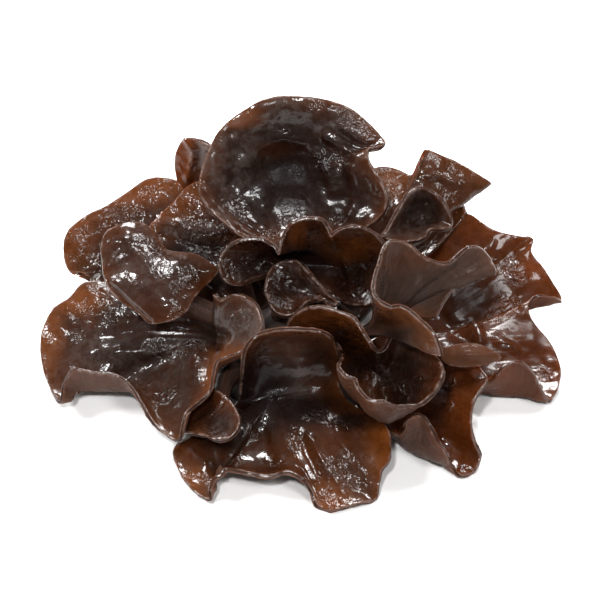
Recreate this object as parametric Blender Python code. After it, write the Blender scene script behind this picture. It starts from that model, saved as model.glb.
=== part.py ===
"""A clump of wood ear fungus, soaked and glossy, standing on its cut foot.

Ruffled ears, each a thin rubbery sheet, grow outwards and upwards from one foot that was
cut flat from the wood. An ear is either a cup on a stalk or a fan that leaves the foot
along a short root. Its rim is a row of points, read off a drawing of the clump: how far
across and down the drawing the point shows, and its height above the table in mm.
"""

import math

import bpy
import numpy as np
from mathutils import Vector
from mathutils.bvhtree import BVHTree

MM = 0.001

# The drawing: the clump seen from the front, a little over forty degrees above the table
CLUMP_WIDTH = 0.140
CLUMP_WIDTH_DRAWN = 517
UNIT = CLUMP_WIDTH / CLUMP_WIDTH_DRAWN
DRAWING_CENTRE = (300, 300)
VIEW_ELEVATION = math.radians(42)
VIEW_DISTANCE = 0.675
VIEW_CENTRE = np.array((0.0, 0.006, 0.022))

# The sheet of an ear: thick at the root, thin at the rim, and thinner by this share with each
# round wherever two folds of it would meet
RIM_THICKNESS = 0.0012
ROOT_THICKNESS = 0.0026
THINNING = 0.7
THINNING_ROUNDS = 6
TABLE_GAP = 0.0002

# Where a column of the sheet has its points, as shares of the way out to the rim
ROWS = np.array((0.0, 0.3, 0.58, 0.82, 1.0))
BOWL_ROWS = np.array((0.16, 0.45, 0.74, 1.0))
STRAIGHTENING = 0.3

# How strongly a column is drawn towards its neighbours: fully at the root, not at all at the rim
EASING_ROUNDS = 6
EASING_FADE = 1.3

# The stalk under a cup: it leaves the cup downwards and meets the foot squarely
STALK_RADIUS = 0.0030
STALK_STEPS = 3
STALK_BEND = 1 / 3

# The foot: half an ellipsoid with low swellings, cut flat at the table
FOOT_HALF_WIDTH = 0.022
FOOT_HALF_DEPTH = 0.017
FOOT_HEIGHT = 0.022
FOOT_SIDES = 24
FOOT_RISES = (0, 18, 36, 54, 72)
FOOT_SWELLINGS = 3
FOOT_SWELLING = 0.015
FOOT_TWIST = math.radians(6)
ROOT_GAP = 0.0006

# Colours of the wet skin
DARK = (0.030, 0.017, 0.013)
BROWN = (0.085, 0.034, 0.018)
AMBER = (0.190, 0.065, 0.014)
PALE = (0.160, 0.105, 0.080)
FOOT_BROWN = (0.120, 0.070, 0.040)
WET = 0.25
DAMP = 0.50


def seen(across, down, height):
    """The point at this height, in mm, that shows at this place of the drawing."""
    sine = math.sin(VIEW_ELEVATION)
    cosine = math.cos(VIEW_ELEVATION)
    toward = np.array((0.0, -cosine, sine))
    upward = np.array((0.0, sine, cosine))
    eye = VIEW_CENTRE + VIEW_DISTANCE * toward
    ray = -VIEW_DISTANCE * toward
    ray = ray + (across - DRAWING_CENTRE[0]) * UNIT * np.array((1.0, 0.0, 0.0))
    ray = ray + (DRAWING_CENTRE[1] - down) * UNIT * upward
    return eye + ray * (height * MM - eye[2]) / ray[2]


def foot_point(turn, rise):
    """A point of the foot's skin, by its angle round the foot and its angle above the table."""
    turn = math.radians(turn)
    rise = math.radians(rise)
    return np.array(
        (
            FOOT_HALF_WIDTH * math.cos(turn) * math.cos(rise),
            FOOT_HALF_DEPTH * math.sin(turn) * math.cos(rise),
            FOOT_HEIGHT * math.sin(rise),
        )
    )


def foot_outward(turn, rise):
    """The direction straight out of the foot's skin there."""
    turn = math.radians(turn)
    rise = math.radians(rise)
    outward = np.array(
        (
            math.cos(turn) * math.cos(rise) / FOOT_HALF_WIDTH,
            math.sin(turn) * math.cos(rise) / FOOT_HALF_DEPTH,
            math.sin(rise) / FOOT_HEIGHT,
        )
    )
    return outward / np.linalg.norm(outward)


def bezier(start, leave, arrive, end, t):
    """The point at t of the curve with these four controls."""
    return (
        (1 - t) ** 3 * start
        + 3 * (1 - t) ** 2 * t * leave
        + 3 * (1 - t) * t**2 * arrive
        + t**3 * end
    )


def read_rim(rim, lift):
    """The rim's points in space, with the lift and the straightening of each."""
    ends = np.array([seen(*row[:3]) for row in rim])
    lifts = np.array([row[3] if len(row) > 3 else lift for row in rim])
    straight = np.array([row[4] if len(row) > 3 else STRAIGHTENING for row in rim])
    lifts = lifts[:, None] * np.array((0.0, 0.0, MM))
    return ends, lifts, straight[:, None]


def facing(loop):
    """The direction that the closed loop of points faces, turned to the upper side."""
    area = np.cross(loop, np.roll(loop, -1, axis=0)).sum(axis=0)
    area = area / np.linalg.norm(area)
    return -area if area[2] < 0 else area


def ease(top, rows, closed):
    """The columns drawn towards their neighbours, so that the ruffles of the rim fade inwards."""
    top = top.copy()
    for r, share in enumerate(rows):
        for _ in range(round(EASING_ROUNDS * (1 - share) ** EASING_FADE)):
            line = top[:, r].copy()
            top[:, r] = (np.roll(line, 1, axis=0) + 2 * line + np.roll(line, -1, axis=0)) / 4
            if not closed:
                top[0, r], top[-1, r] = line[0], line[-1]
    return top


def crossing_points(vertices, faces):
    """The numbers of the vertices whose faces pass through another face."""
    tree = BVHTree.FromPolygons([tuple(v) for v in vertices], faces)
    apart = [pair for pair in tree.overlap(tree) if not set(faces[pair[0]]) & set(faces[pair[1]])]
    return sorted({v for pair in apart for v in faces[pair[0]]})


def sheet_normals(top, up, closed):
    """The directions straight up from the upper side."""
    if closed:
        along = np.roll(top, -1, axis=0) - np.roll(top, 1, axis=0)
    else:
        along = np.gradient(top, axis=0)
    normals = np.cross(along, np.gradient(top, axis=1))
    normals = normals / np.linalg.norm(normals, axis=2, keepdims=True)
    return -normals if (normals @ up).mean() < 0 else normals


def sheet_faces(top, rows, up, closed, close):
    """The vertices and faces of the whole ear, its sheet thinner where the folds leave no room."""
    normals = sheet_normals(top, up, closed)
    thickness = RIM_THICKNESS + (ROOT_THICKNESS - RIM_THICKNESS) * (1 - rows) ** 2
    thickness = np.tile(thickness, (len(top), 1))
    for _ in range(THINNING_ROUNDS):
        under = top - normals * thickness[..., None]
        vertices, faces, grid = close(off_the_table(top), off_the_table(under))
        crossing = np.isin(grid, crossing_points(vertices, faces))
        thickness[crossing.any(axis=0)] *= THINNING
    return vertices, faces


def off_the_table(points):
    """The same points, none lower than the table."""
    points = points.copy()
    points[..., 2] = np.maximum(points[..., 2], TABLE_GAP)
    return points


def strip(first, second, closed):
    """Faces between two rows of vertex numbers."""
    count = len(first)
    faces = []
    for i in range(count if closed else count - 1):
        j = (i + 1) % count
        faces.append((first[i], second[i], second[j], first[j]))
    return faces


def add_object(name, vertices, faces, material):
    """One closed piece, its faces pointing out."""
    triangles = []
    for face in faces:
        for k in range(1, len(face) - 1):
            triangles.append((face[0], face[k], face[k + 1]))
    corners = np.asarray(vertices)[np.array(triangles)]
    if np.linalg.det(corners).sum() < 0:
        faces = [tuple(reversed(face)) for face in faces]
    mesh = bpy.data.meshes.new(name)
    mesh.from_pydata([tuple(v) for v in vertices], [], faces)
    mesh.validate()
    mesh.shade_smooth()
    mesh.materials.append(material)
    piece = bpy.data.objects.new(name, mesh)
    bpy.context.scene.collection.objects.link(piece)
    return piece


def wet_material(name, colour, roughness):
    """The colour and gloss of one kind of skin."""
    material = bpy.data.materials.new(name)
    material.use_nodes = True
    shader = material.node_tree.nodes["Principled BSDF"]
    shader.inputs["Base Color"].default_value = (*colour, 1.0)
    shader.inputs["Roughness"].default_value = roughness
    shader.inputs["Metallic"].default_value = 0.0
    return material


def fan_ear(name, rim, material, turn, spread, rise, leave, lift=0):
    """A fan: columns from a short root on the foot out to the rim.

    turn and rise place the middle of the root, spread is its half width in degrees, and
    leave is how far, as a share of its length, a column goes straight out first.
    """
    ends, lifts, straight = read_rim(rim, lift)
    angles = np.linspace(turn - spread, turn + spread, len(rim))
    columns = []
    for angle, end, raised, share in zip(angles, ends, lifts, straight):
        outward = foot_outward(angle, rise)
        start = foot_point(angle, rise) + ROOT_GAP * outward
        away = start + leave * np.linalg.norm(end - start) * outward
        arrive = end + share * (start - end) + raised
        columns.append([bezier(start, away, arrive, end, t) for t in ROWS])
    top = ease(np.array(columns), ROWS, False)
    vertices, faces = sheet_faces(top, ROWS, np.array((0.0, 0.0, 1.0)), False, close_fan)
    return add_object(name, vertices, faces, material)


def close_fan(top, under):
    """The two sides of a fan, joined round its edge, and the vertex numbers of each side."""
    count, rows = top.shape[:2]
    upper = np.arange(count * rows).reshape(count, rows)
    lower = upper + count * rows
    faces = []
    for r in range(rows - 1):
        faces += strip(upper[:, r], upper[:, r + 1], False)
        faces += strip(lower[:, r + 1], lower[:, r], False)
    faces += strip(upper[:, -1], lower[:, -1], False)
    faces += strip(lower[:, 0], upper[:, 0], False)
    faces += strip(upper[0], lower[0], False)
    faces += strip(lower[-1], upper[-1], False)
    vertices = np.concatenate([top.reshape(-1, 3), under.reshape(-1, 3)])
    return vertices, faces, np.array((upper, lower))


def cup_ear(name, rim, material, turn, rise, middle, leave, lift=0):
    """A cup: columns from its middle out to a closed rim, on a stalk from the foot.

    turn and rise place the stalk's root, middle is the bottom of the bowl, written as a
    rim row is, and leave is how far out the bowl stays flat.
    """
    ends, lifts, straight = read_rim(rim, lift)
    centre = seen(*middle)
    up = facing(ends)
    columns = []
    for end, raised, share in zip(ends, lifts, straight):
        outward = end - centre
        away = centre + leave * (outward - up * np.dot(outward, up))
        arrive = end - share * outward + up * raised[2]
        columns.append([bezier(centre, away, arrive, end, t) for t in BOWL_ROWS])
    top = ease(np.array(columns), BOWL_ROWS, True)
    bottom = centre - up * ROOT_THICKNESS

    def close(top, under):
        return close_cup(centre, top, under, stalk_rings(under[:, 0], bottom, up, turn, rise))

    vertices, faces = sheet_faces(top, BOWL_ROWS, up, True, close)
    return add_object(name, vertices, faces, material)


def stalk_rings(ring, middle, up, turn, rise):
    """Rings that narrow from the underside of a cup down to its root on the foot."""
    outward = foot_outward(turn, rise)
    root = foot_point(turn, rise) + 2 * ROOT_GAP * outward
    span = np.linalg.norm(middle - root)
    below = middle - up * STALK_BEND * min(span, middle[2])
    beside = root + outward * STALK_BEND * span
    around = ring - ring.mean(axis=0)
    side = np.cross(outward, np.array((0.0, 0.0, 1.0)))
    side = side / np.linalg.norm(side)
    other = np.cross(side, outward)
    bend = np.array(Vector(up).rotation_difference(Vector(outward)).to_matrix())
    starts = [bend @ around[k] for k in (0, len(ring) // 4)]
    first, second = (math.atan2(start @ other, start @ side) for start in starts)
    sense = 1 if math.sin(second - first) > 0 else -1
    angles = first + sense * np.linspace(0, math.tau, len(ring), endpoint=False)[:, None]
    root_ring = STALK_RADIUS * (np.cos(angles) * side + np.sin(angles) * other)
    rings = []
    for step in range(1, STALK_STEPS + 1):
        t = step / STALK_STEPS
        narrow = 1 - (1 - t) ** 2
        path = bezier(ring.mean(axis=0), below, beside, root, t)
        rings.append(path + around * (1 - narrow) + root_ring * narrow)
    return off_the_table(np.array(rings))


def close_cup(centre, top, under, stalk):
    """The bowl, the underside and the stalk of a cup in one skin, and the vertex numbers of each side."""
    count, rows = top.shape[:2]
    upper = np.arange(count * rows).reshape(count, rows) + 1
    lower = upper + count * rows
    first = 1 + 2 * count * rows
    rings = first + np.arange(len(stalk) * count).reshape(len(stalk), count)
    last = first + len(stalk) * count
    faces = []
    for i in range(count):
        j = (i + 1) % count
        faces.append((0, upper[i, 0], upper[j, 0]))
        faces.append((last, rings[-1][j], rings[-1][i]))
    for r in range(rows - 1):
        faces += strip(upper[:, r], upper[:, r + 1], True)
        faces += strip(lower[:, r + 1], lower[:, r], True)
    faces += strip(upper[:, -1], lower[:, -1], True)
    above = lower[:, 0]
    for ring in rings:
        faces += strip(above, ring, True)
        above = ring
    parts = (centre[None, :], top.reshape(-1, 3), under.reshape(-1, 3), stalk.reshape(-1, 3))
    vertices = np.concatenate([*parts, stalk[-1].mean(axis=0)[None, :]])
    return vertices, faces, np.array((upper, lower))


# A rim row is across, down and height, and at some points two values more: the mm by which
# the sheet comes down to the rim from above, or up from below if negative, and the share of
# the column over which it straightens towards the rim

TOP_RIM = (
    (280, 97.5, 64, 3, 0.3), (262, 102, 63.5, 3, 0.3), (246, 111, 62, 3, 0.3), (230, 122, 60, 3, 0.3),
    (218, 135, 58, 3, 0.3), (209, 153, 55.5, 3, 0.3), (203, 170, 53, 3, 0.3), (200, 188, 50.5, 2, 0.3),
    (205, 202, 47.5, 1, 0.3), (216, 214, 45, 1, 0.3), (230, 226, 42.5), (241, 235, 40.5), (252, 240, 39),
    (266, 241, 38), (282, 240, 37.5), (302, 238, 37), (324, 236, 37.5), (345, 233, 38.5),
    (362, 228, 41), (376, 219, 44), (385, 206, 47), (384, 192, 50), (378, 180, 52), (371, 169, 53.5),
    (366, 159, 55), (368, 149, 56.5, 2, 0.3), (384, 144, 57, 3, 0.3), (379, 136, 58.5, 3, 0.3),
    (368, 124, 60, 3, 0.3), (355, 113, 61.5, 3, 0.3), (340, 105, 63, 3, 0.3), (322, 100, 63.5, 3, 0.3),
    (302, 98, 64, 3, 0.3),
)


def ear_top(material):
    """The largest ear: a round cup on the top at the back, tipped towards the viewer."""
    return cup_ear("ear_top", TOP_RIM, material, turn=88, rise=50, middle=(290, 174, 44.5), leave=0.55)


LEFT_FRONT_RIM = (
    (196, 306, 13), (165, 297, 14), (138, 287, 14.5), (112, 282, 15), (86, 283, 15), (70, 299, 13),
    (55, 308, 12), (46, 324, 10), (42, 345, 8), (45, 368, 7), (52, 386, 6),
    (61, 399, 6, -9, 0.2), (63, 384, 9, -15, 0.1), (75, 369, 13, -22, 0.1), (95, 372, 13, -23, 0.1),
    (112, 373, 12.5, -20, 0.1), (127, 380, 12, -14, 0.1), (138, 392, 11, -8, 0.1),
    (147, 406, 10, -7, 0.1), (156, 421, 9, -4, 0.15), (166, 432, 9), (177, 437, 10),
    (182, 421, 13), (186, 410, 14), (197, 401, 15.5), (208, 390, 17, -3, 0.2),
    (211, 376, 18.5, -5, 0.1), (216, 361, 20, -5, 0.1), (228, 355, 21.5, -6, 0.1),
    (243, 349, 23.5, -6, 0.1), (256, 339, 26, -5, 0.15), (260, 325, 28), (256, 309, 29.5),
    (246, 299, 29.5), (232, 296, 28.5), (221, 302, 27), (213, 296, 26),
)


def ear_left_front(material):
    """The broad ear at the front left, with an upright inner lobe."""
    return fan_ear("ear_left_front", LEFT_FRONT_RIM, material, turn=183, spread=13, rise=30, leave=0.48)


LEFT_SMALL_RIM = (
    (103, 262, 29), (102, 248, 31), (106, 233, 33), (118, 226, 34), (132, 222, 34.5),
    (145, 223, 34), (154, 231, 33.5), (161, 241, 33), (168, 249, 32.5), (182, 252, 32),
    (198, 255, 31.5), (210, 262, 31), (218, 270, 30), (211, 280, 29), (201, 289, 28.5),
    (193, 299, 28), (187, 310, 27), (176, 318, 26), (162, 322, 25), (149, 322, 24.5),
    (138, 313, 25), (123, 302, 26), (110, 289, 27.5), (105, 276, 28.5),
)


def ear_left_small(material):
    """A small capped ear that stands over the left side."""
    return cup_ear(
        "ear_left_small", LEFT_SMALL_RIM, material, turn=172, rise=42, middle=(155, 276, 33), leave=0.5,
        lift=1,
    )


BACK_LEFT_RIM = (
    (215, 200, 28), (200, 188, 30), (186, 183, 31), (175, 181, 31), (162, 178.5, 30.5),
    (147, 180.5, 30), (130, 192, 27.5), (110, 205, 24.5), (90, 215, 21), (73, 227, 18.5),
    (66, 240, 16), (65, 253, 13), (68, 267, 11), (77, 276, 10), (92, 277, 8.5), (112, 268, 7),
)


def ear_back_left(material):
    """The outermost ear at the back left."""
    return fan_ear("ear_back_left", BACK_LEFT_RIM, material, turn=154, spread=11, rise=10, leave=0.3)


LEFT_INNER_RIM = (
    (178, 268, 20), (158, 250, 24), (151, 236, 27), (152, 225, 29), (160, 216, 31), (170, 207, 33),
    (180, 197, 35), (187, 189, 36.5), (198, 183, 37.5), (214, 186, 37), (230, 196, 35),
    (244, 212, 32), (250, 232, 28),
)


def ear_left_inner(material):
    """The glossy ear between the back left ear and the top one."""
    return fan_ear("ear_left_inner", LEFT_INNER_RIM, material, turn=138, spread=-10, rise=38, leave=0.4)


BACK_RIM = (
    (178, 182, 34), (175, 165, 38), (177, 152, 42), (185, 139, 46), (198, 142, 47),
    (213, 148, 47), (232, 152, 44), (258, 150, 42), (290, 155, 40), (320, 160, 38),
    (345, 168, 35),
)


def ear_back(material):
    """The ear behind the top one, whose tip shows at its left."""
    return fan_ear("ear_back", BACK_RIM, material, turn=100, spread=-14, rise=30, leave=0.4)


BACK_RIGHT_TOP_RIM = (
    (360, 178, 36), (372, 170, 38), (385, 168, 38), (398, 171, 37), (410, 176, 36),
    (417, 172, 37), (418, 161, 39), (424, 151, 41), (440, 156, 40), (460, 165, 37),
    (478, 176, 34), (490, 185, 31), (475, 187, 30, -6, 0.2), (463, 191, 29, -8, 0.2),
    (460, 202, 27.5, -8, 0.2), (464, 214, 26, -6, 0.2),
)


def ear_back_right_top(material):
    """The folded ear at the back right, with a rolled corner."""
    return fan_ear(
        "ear_back_right_top", BACK_RIGHT_TOP_RIM, material, turn=46, spread=-12, rise=34, leave=0.4
    )


BACK_RIGHT_RIM = (
    (425, 226, 20), (442, 218, 23), (456, 214, 24.5), (470, 216, 25), (480, 223, 25), (490, 229, 24.5),
    (500, 233, 24), (512, 236, 23), (525, 238, 22), (532, 240, 21), (530, 252, 19), (541, 267, 16),
    (552, 284, 12.5), (560, 298, 9), (547, 295, 11, -4, 0.2), (533, 295, 12, -4, 0.2),
    (527, 304, 11.5), (528, 315, 10.5), (535, 326, 9.5), (546, 339, 8.5), (554, 354, 7),
    (559, 371, 5.5), (556, 387, 4), (549, 399, 3), (541, 390, 6, -9, 0.1),
    (533, 374, 11, -20, 0.0), (520, 362, 15, -24, 0.0), (505, 365, 15, -18, 0.0),
    (494, 373, 14, -8, 0.1),
)


def ear_back_right(material):
    """The broad amber ear at the right, with a deep notch and a curled lower edge."""
    return fan_ear("ear_back_right", BACK_RIGHT_RIM, material, turn=12, spread=-16, rise=12, leave=0.3)


RIGHT_FRONT_RIM = (
    (478, 366, 15), (486, 378, 15), (480, 388, 14), (473, 400, 13), (469, 415, 11.5),
    (470, 430, 9.5), (474, 445, 7), (478, 457, 4), (473, 470, 2), (461, 474, 1.8),
    (453, 465, 4, -4, 0.2), (447, 452, 9, -13, 0.1), (440, 440, 13, -19, 0.0),
    (432, 425, 16, -25, 0.0), (420, 414, 18, -25, 0.0), (408, 417, 17, -16, 0.0),
    (403, 426, 13.5, -8, 0.1),
)


def ear_right_front(material):
    """The amber ear at the front right, arched over its lower edge."""
    return fan_ear(
        "ear_right_front", RIGHT_FRONT_RIM, material, turn=-38, spread=-12, rise=14, leave=0.3
    )


FRONT_RIM = (
    (245, 365, 24, -5, 0.1), (247, 350, 28, -7, 0.0), (257, 338, 31, -9, 0.0), (270, 332, 32.5, -9, 0.0),
    (285, 331, 33, -9, 0.0), (300, 331, 33, -9, 0.0), (318, 333, 32, -8, 0.0), (330, 339, 29.5, -7, 0.0),
    (336, 350, 24, -5, 0.1), (338, 364, 17), (338, 384, 12), (346, 399, 9), (362, 410, 8.5), (378, 419, 8.5),
    (388, 430, 9), (390, 446, 8.5), (388, 459, 8), (380, 470, 6.5), (378, 482, 4), (375, 498, 1.6),
    (360, 502, 1.6), (345, 506, 1.6), (330, 509, 1.6), (319, 503, 2, -2, 0.2), (313, 490, 4, -3, 0.2),
    (304, 477, 7.5, -8, 0.1), (288, 470, 8.5, -11, 0.1), (270, 473, 8, -11, 0.1),
    (250, 471, 8, -11, 0.1), (235, 468, 8, -12, 0.1), (224, 466, 8, -12, 0.1),
    (214, 475, 6.5, -9, 0.1), (209, 488, 5, -6, 0.1), (209, 497, 3.5, -3, 0.2),
    (198, 492, 3), (187, 480, 3.5), (179, 466, 4.5), (174, 452, 5), (178, 441, 4.5),
    (190, 435, 3.5), (205, 429, 3), (221, 418, 4), (238, 402, 9), (242, 384, 17),
)


def ear_front(material):
    """The ear in front: a dark bowl with a high wall, opening on to three ruffles."""
    return cup_ear(
        "ear_front", FRONT_RIM, material, turn=-96, rise=24, middle=(274, 395, 11.5), leave=0.5
    )


FRONT_CURL_RIM = (
    (206, 388, 13), (217, 391, 15), (226, 398, 15.5), (233, 406, 15.5), (238, 418, 15.5),
    (235, 429, 15), (227, 436, 14.5), (216, 437, 14), (205, 434, 12.5), (194, 432, 10.5),
    (184, 431, 8), (180, 422, 8), (185, 412, 9.5), (194, 401, 11),
)


def ear_front_curl(material):
    """A small ear curled up between the left front ear and the front one."""
    return cup_ear(
        "ear_front_curl", FRONT_CURL_RIM, material, turn=-146, rise=24, middle=(211, 415, 12), leave=0.5
    )


CENTRE_FRONT_RIM = (
    (288, 327, 28), (293, 318, 31), (302, 311, 33), (315, 308.5, 34.5), (330, 311, 35),
    (345, 315, 35), (355, 322, 34.5), (363, 336, 33), (370, 348, 31), (377, 354, 28),
    (386, 350, 25.5), (393, 337, 23.5), (402, 332, 22.5), (414, 337, 23), (427, 349, 24),
    (438, 360, 25.5), (441, 372, 27), (437, 385, 26), (428, 396, 25),
    (418, 403, 24.5, -5, 0.1), (402, 405, 24.5, -12, 0.0), (385, 403, 25, -22, -0.2),
    (370, 399, 25.5, -30, -0.4), (361, 389, 26.5, -33, -0.4), (355, 379, 27, -33, -0.4),
    (347, 376, 27, -30, -0.4), (341, 368, 27.5, -22, -0.3),
    (343, 358, 25.5), (341, 346, 22.5), (328, 339, 21), (312, 337, 20.5), (298, 334, 22),
)


def ear_centre_front(material):
    """A cup with a thick rolled lip, in front of the middle."""
    return cup_ear(
        "ear_centre_front", CENTRE_FRONT_RIM, material, turn=-56, rise=36, middle=(380, 376, 12), leave=0.5
    )


CENTRE_LEFT_RIM = (
    (272, 268, 34), (285, 262, 35.5), (297, 262, 36), (306, 272, 35.5), (316, 283, 34),
    (326, 293, 32), (336, 303, 30), (327, 306, 29.5), (318, 302, 30), (308, 303, 30.5),
    (298, 309, 30), (287, 314, 29.5), (276, 310, 30), (269, 302, 30.5), (266, 290, 32),
)


def ear_centre_left(material):
    """A small glossy ear in the middle."""
    return cup_ear(
        "ear_centre_left", CENTRE_LEFT_RIM, material, turn=180, rise=78, middle=(295, 290, 29), leave=0.5
    )


CENTRE_BACK_RIM = (
    (220, 268, 35), (222, 257, 37), (230, 248, 39), (240, 243, 41), (252, 241, 42.5),
    (264, 242, 43.5), (273, 248, 44), (279, 256, 43.5), (282, 247, 45), (285, 237, 46.5),
    (291, 227, 47.5), (300, 222, 48), (312, 220, 48), (322, 222, 47.5), (327, 230, 45.5),
    (331, 238, 44.5), (337, 234, 45.5), (346, 230, 46.5), (358, 229, 46.5), (368, 232, 46),
    (376, 238, 45), (383, 248, 42.5), (388, 264, 38), (385, 285, 33), (374, 302, 28.5),
    (348, 303, 26.5), (328, 290, 26.5), (310, 278, 28), (292, 270, 29.5), (275, 274, 29.5),
    (255, 282, 30), (240, 286, 31), (227, 281, 32.5),
)


def ear_centre_back(material):
    """The dark cup in the middle, with a wavy upper rim."""
    return cup_ear(
        "ear_centre_back", CENTRE_BACK_RIM, material, turn=45, rise=74, middle=(332, 266, 28.5), leave=0.5
    )


RIGHT_UPPER_RIM = (
    (383, 237, 43), (389, 229, 44), (395, 220, 45.5), (400, 210, 47), (405, 201, 48),
    (411, 193, 49), (420, 190, 49), (429, 193, 48), (437, 199, 46.5), (444, 207, 44.5),
    (449, 217, 42.5), (450, 227, 40.5), (440, 228, 41), (429, 228, 41.5), (423, 236, 40.5),
    (410, 241, 39.5), (396, 241, 41),
)


def ear_right_upper(material):
    """A small hood below the top ear's right side."""
    return cup_ear(
        "ear_right_upper", RIGHT_UPPER_RIM, material, turn=24, rise=54, middle=(422, 215, 39), leave=0.5
    )


RIGHT_MID_RIM = (
    (438, 356, 33), (436, 345, 35), (431, 334, 37), (421, 324, 38.5), (411, 315, 39.5),
    (400, 309.5, 40.5), (390, 311, 41), (380, 306, 42), (373, 298, 43), (371, 287, 44),
    (373, 274, 45), (377, 262, 46), (381, 249, 47), (388, 241, 47.5), (399, 241, 47),
    (410, 245, 46.5), (420, 254, 45.5), (431, 260, 44), (444, 263, 42.5), (451, 259, 42),
    (458, 251, 42.5), (468, 246, 42.5), (480, 249, 41.5), (489, 259, 39.5), (494, 270, 37.5),
    (484, 267, 36.5), (472, 273, 35), (462, 281, 33), (452, 292, 31), (443, 304, 29),
    (436, 318, 27),
)


def ear_right_mid(material):
    """A folded ear at the right of the middle, its pale underside outwards."""
    return fan_ear("ear_right_mid", RIGHT_MID_RIM, material, turn=-12, spread=10, rise=48, leave=0.4)


RIGHT_STUB_RIM = (
    (441, 350, 21), (450, 346, 22), (462, 344, 22.5), (474, 344, 22.5), (486, 348, 22),
    (496, 354, 21), (499, 359, 19.5), (488, 363, 18.5), (472, 366, 18), (456, 366, 18),
    (444, 361, 19),
)


def ear_right_stub(material):
    """A short curled lip between the right ears."""
    return cup_ear(
        "ear_right_stub", RIGHT_STUB_RIM, material, turn=-14, rise=14, middle=(470, 355, 21.6), leave=0.6
    )


BEHIND_LEFT_RIM = (
    (100, 252, 6), (112, 243, 8.5), (124, 233, 12), (136, 223, 15.5), (148, 216, 18), (160, 213, 18.5),
    (170, 215, 16.5), (180, 211, 16.5), (192, 202, 20.5), (204, 188, 27), (218, 174, 32), (232, 168, 34),
    (246, 172, 32), (258, 184, 26), (270, 194, 21), (284, 190, 24), (298, 182, 28), (308, 184, 27),
    (314, 196, 21),
)


def ear_behind_left(material):
    """A ruffled ear low on the back, at the left."""
    return fan_ear(
        "ear_behind_left", BEHIND_LEFT_RIM, material, turn=122, spread=-12, rise=10, leave=0.4, lift=2
    )


BEHIND_RIGHT_RIM = (
    (322, 214, 13), (330, 204, 18), (340, 194, 23), (352, 190, 25), (364, 196, 21), (374, 204, 17),
    (386, 200, 19), (398, 192, 23), (410, 191, 24), (422, 198, 20), (432, 208, 15), (442, 217, 11),
    (450, 228, 8), (456, 240, 6),
)


def ear_behind_right(material):
    """A ruffled ear low on the back, at the right."""
    return fan_ear(
        "ear_behind_right", BEHIND_RIGHT_RIM, material, turn=68, spread=-14, rise=10, leave=0.4, lift=2
    )


def foot(material):
    """The cut foot: a low swollen dome with a flat underside."""
    vertices = []
    for rise in FOOT_RISES:
        for k in range(FOOT_SIDES):
            turn = 360 * k / FOOT_SIDES
            wave = math.sin(FOOT_SWELLINGS * math.radians(turn) + FOOT_TWIST * rise)
            vertices.append((1 - FOOT_SWELLING * (1 + wave)) * foot_point(turn, rise))
    vertices.append(np.array((0.0, 0.0, FOOT_HEIGHT)))
    vertices.append(np.array((0.0, 0.0, 0.0)))
    crown = len(vertices) - 2
    rings = np.arange(crown).reshape(len(FOOT_RISES), FOOT_SIDES)
    faces = []
    for below, above in zip(rings, rings[1:]):
        faces += strip(below, above, True)
    for k in range(FOOT_SIDES):
        after = (k + 1) % FOOT_SIDES
        faces.append((rings[-1][k], crown, rings[-1][after]))
        faces.append((rings[0][after], crown + 1, rings[0][k]))
    return add_object("foot", vertices, faces, material)


def main():
    for thing in list(bpy.data.objects):
        bpy.data.objects.remove(thing)
    foot(wet_material("foot_skin", FOOT_BROWN, DAMP))
    dark = wet_material("dark_ear", DARK, WET)
    ear_top(dark)
    ear_left_small(dark)
    ear_front_curl(dark)
    ear_centre_front(dark)
    ear_centre_left(dark)
    ear_centre_back(dark)
    ear_right_upper(dark)
    brown = wet_material("brown_ear", BROWN, WET)
    ear_left_front(brown)
    ear_back_left(brown)
    ear_left_inner(brown)
    ear_back_right_top(brown)
    ear_front(brown)
    ear_behind_left(brown)
    ear_behind_right(brown)
    amber = wet_material("amber_ear", AMBER, WET)
    ear_back(amber)
    ear_back_right(amber)
    ear_right_front(amber)
    pale = wet_material("pale_ear", PALE, DAMP)
    ear_right_mid(pale)
    ear_right_stub(pale)


main()
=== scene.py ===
# %% [markdown]
# # A soaked wood ear clump, dressed for its portrait
# Wood ears are jelly fungi: thin rubbery sheets that grow in ruffles from one foot on dead wood. Dried,
# they are hard and grey; soaked, as here, the upper skin turns near black and glossy, the thin lobes let
# amber light through, and the underside stays a dull grey brown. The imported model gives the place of
# every ear. This lesson loads it as a fixed frame and grows a finer skin over each ear.

import math

import bpy
import numpy as np
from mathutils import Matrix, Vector


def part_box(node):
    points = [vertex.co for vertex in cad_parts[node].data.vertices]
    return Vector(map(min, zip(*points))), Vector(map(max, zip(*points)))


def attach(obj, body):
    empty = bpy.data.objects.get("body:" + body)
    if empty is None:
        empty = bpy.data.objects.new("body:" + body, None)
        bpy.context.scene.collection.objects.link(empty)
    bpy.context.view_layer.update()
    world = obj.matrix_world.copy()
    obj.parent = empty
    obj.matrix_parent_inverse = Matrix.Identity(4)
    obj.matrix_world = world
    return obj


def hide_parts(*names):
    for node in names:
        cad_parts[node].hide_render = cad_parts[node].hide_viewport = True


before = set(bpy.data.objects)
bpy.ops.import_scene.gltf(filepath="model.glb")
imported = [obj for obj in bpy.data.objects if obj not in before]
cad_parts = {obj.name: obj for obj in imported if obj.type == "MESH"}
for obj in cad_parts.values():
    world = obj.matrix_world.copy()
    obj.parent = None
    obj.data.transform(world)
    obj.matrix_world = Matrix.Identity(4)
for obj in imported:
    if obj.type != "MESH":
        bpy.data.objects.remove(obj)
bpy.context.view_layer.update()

# %% [markdown]
# ## Where a place of the picture lies in space
# The ears were measured on one picture: how far across, how far down, and how high above the table.
# With the camera's place known, those three numbers fix a point. The same sum backwards tells where a
# point shows, which is used later to put a fold or a wet patch where it is seen.

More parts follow.
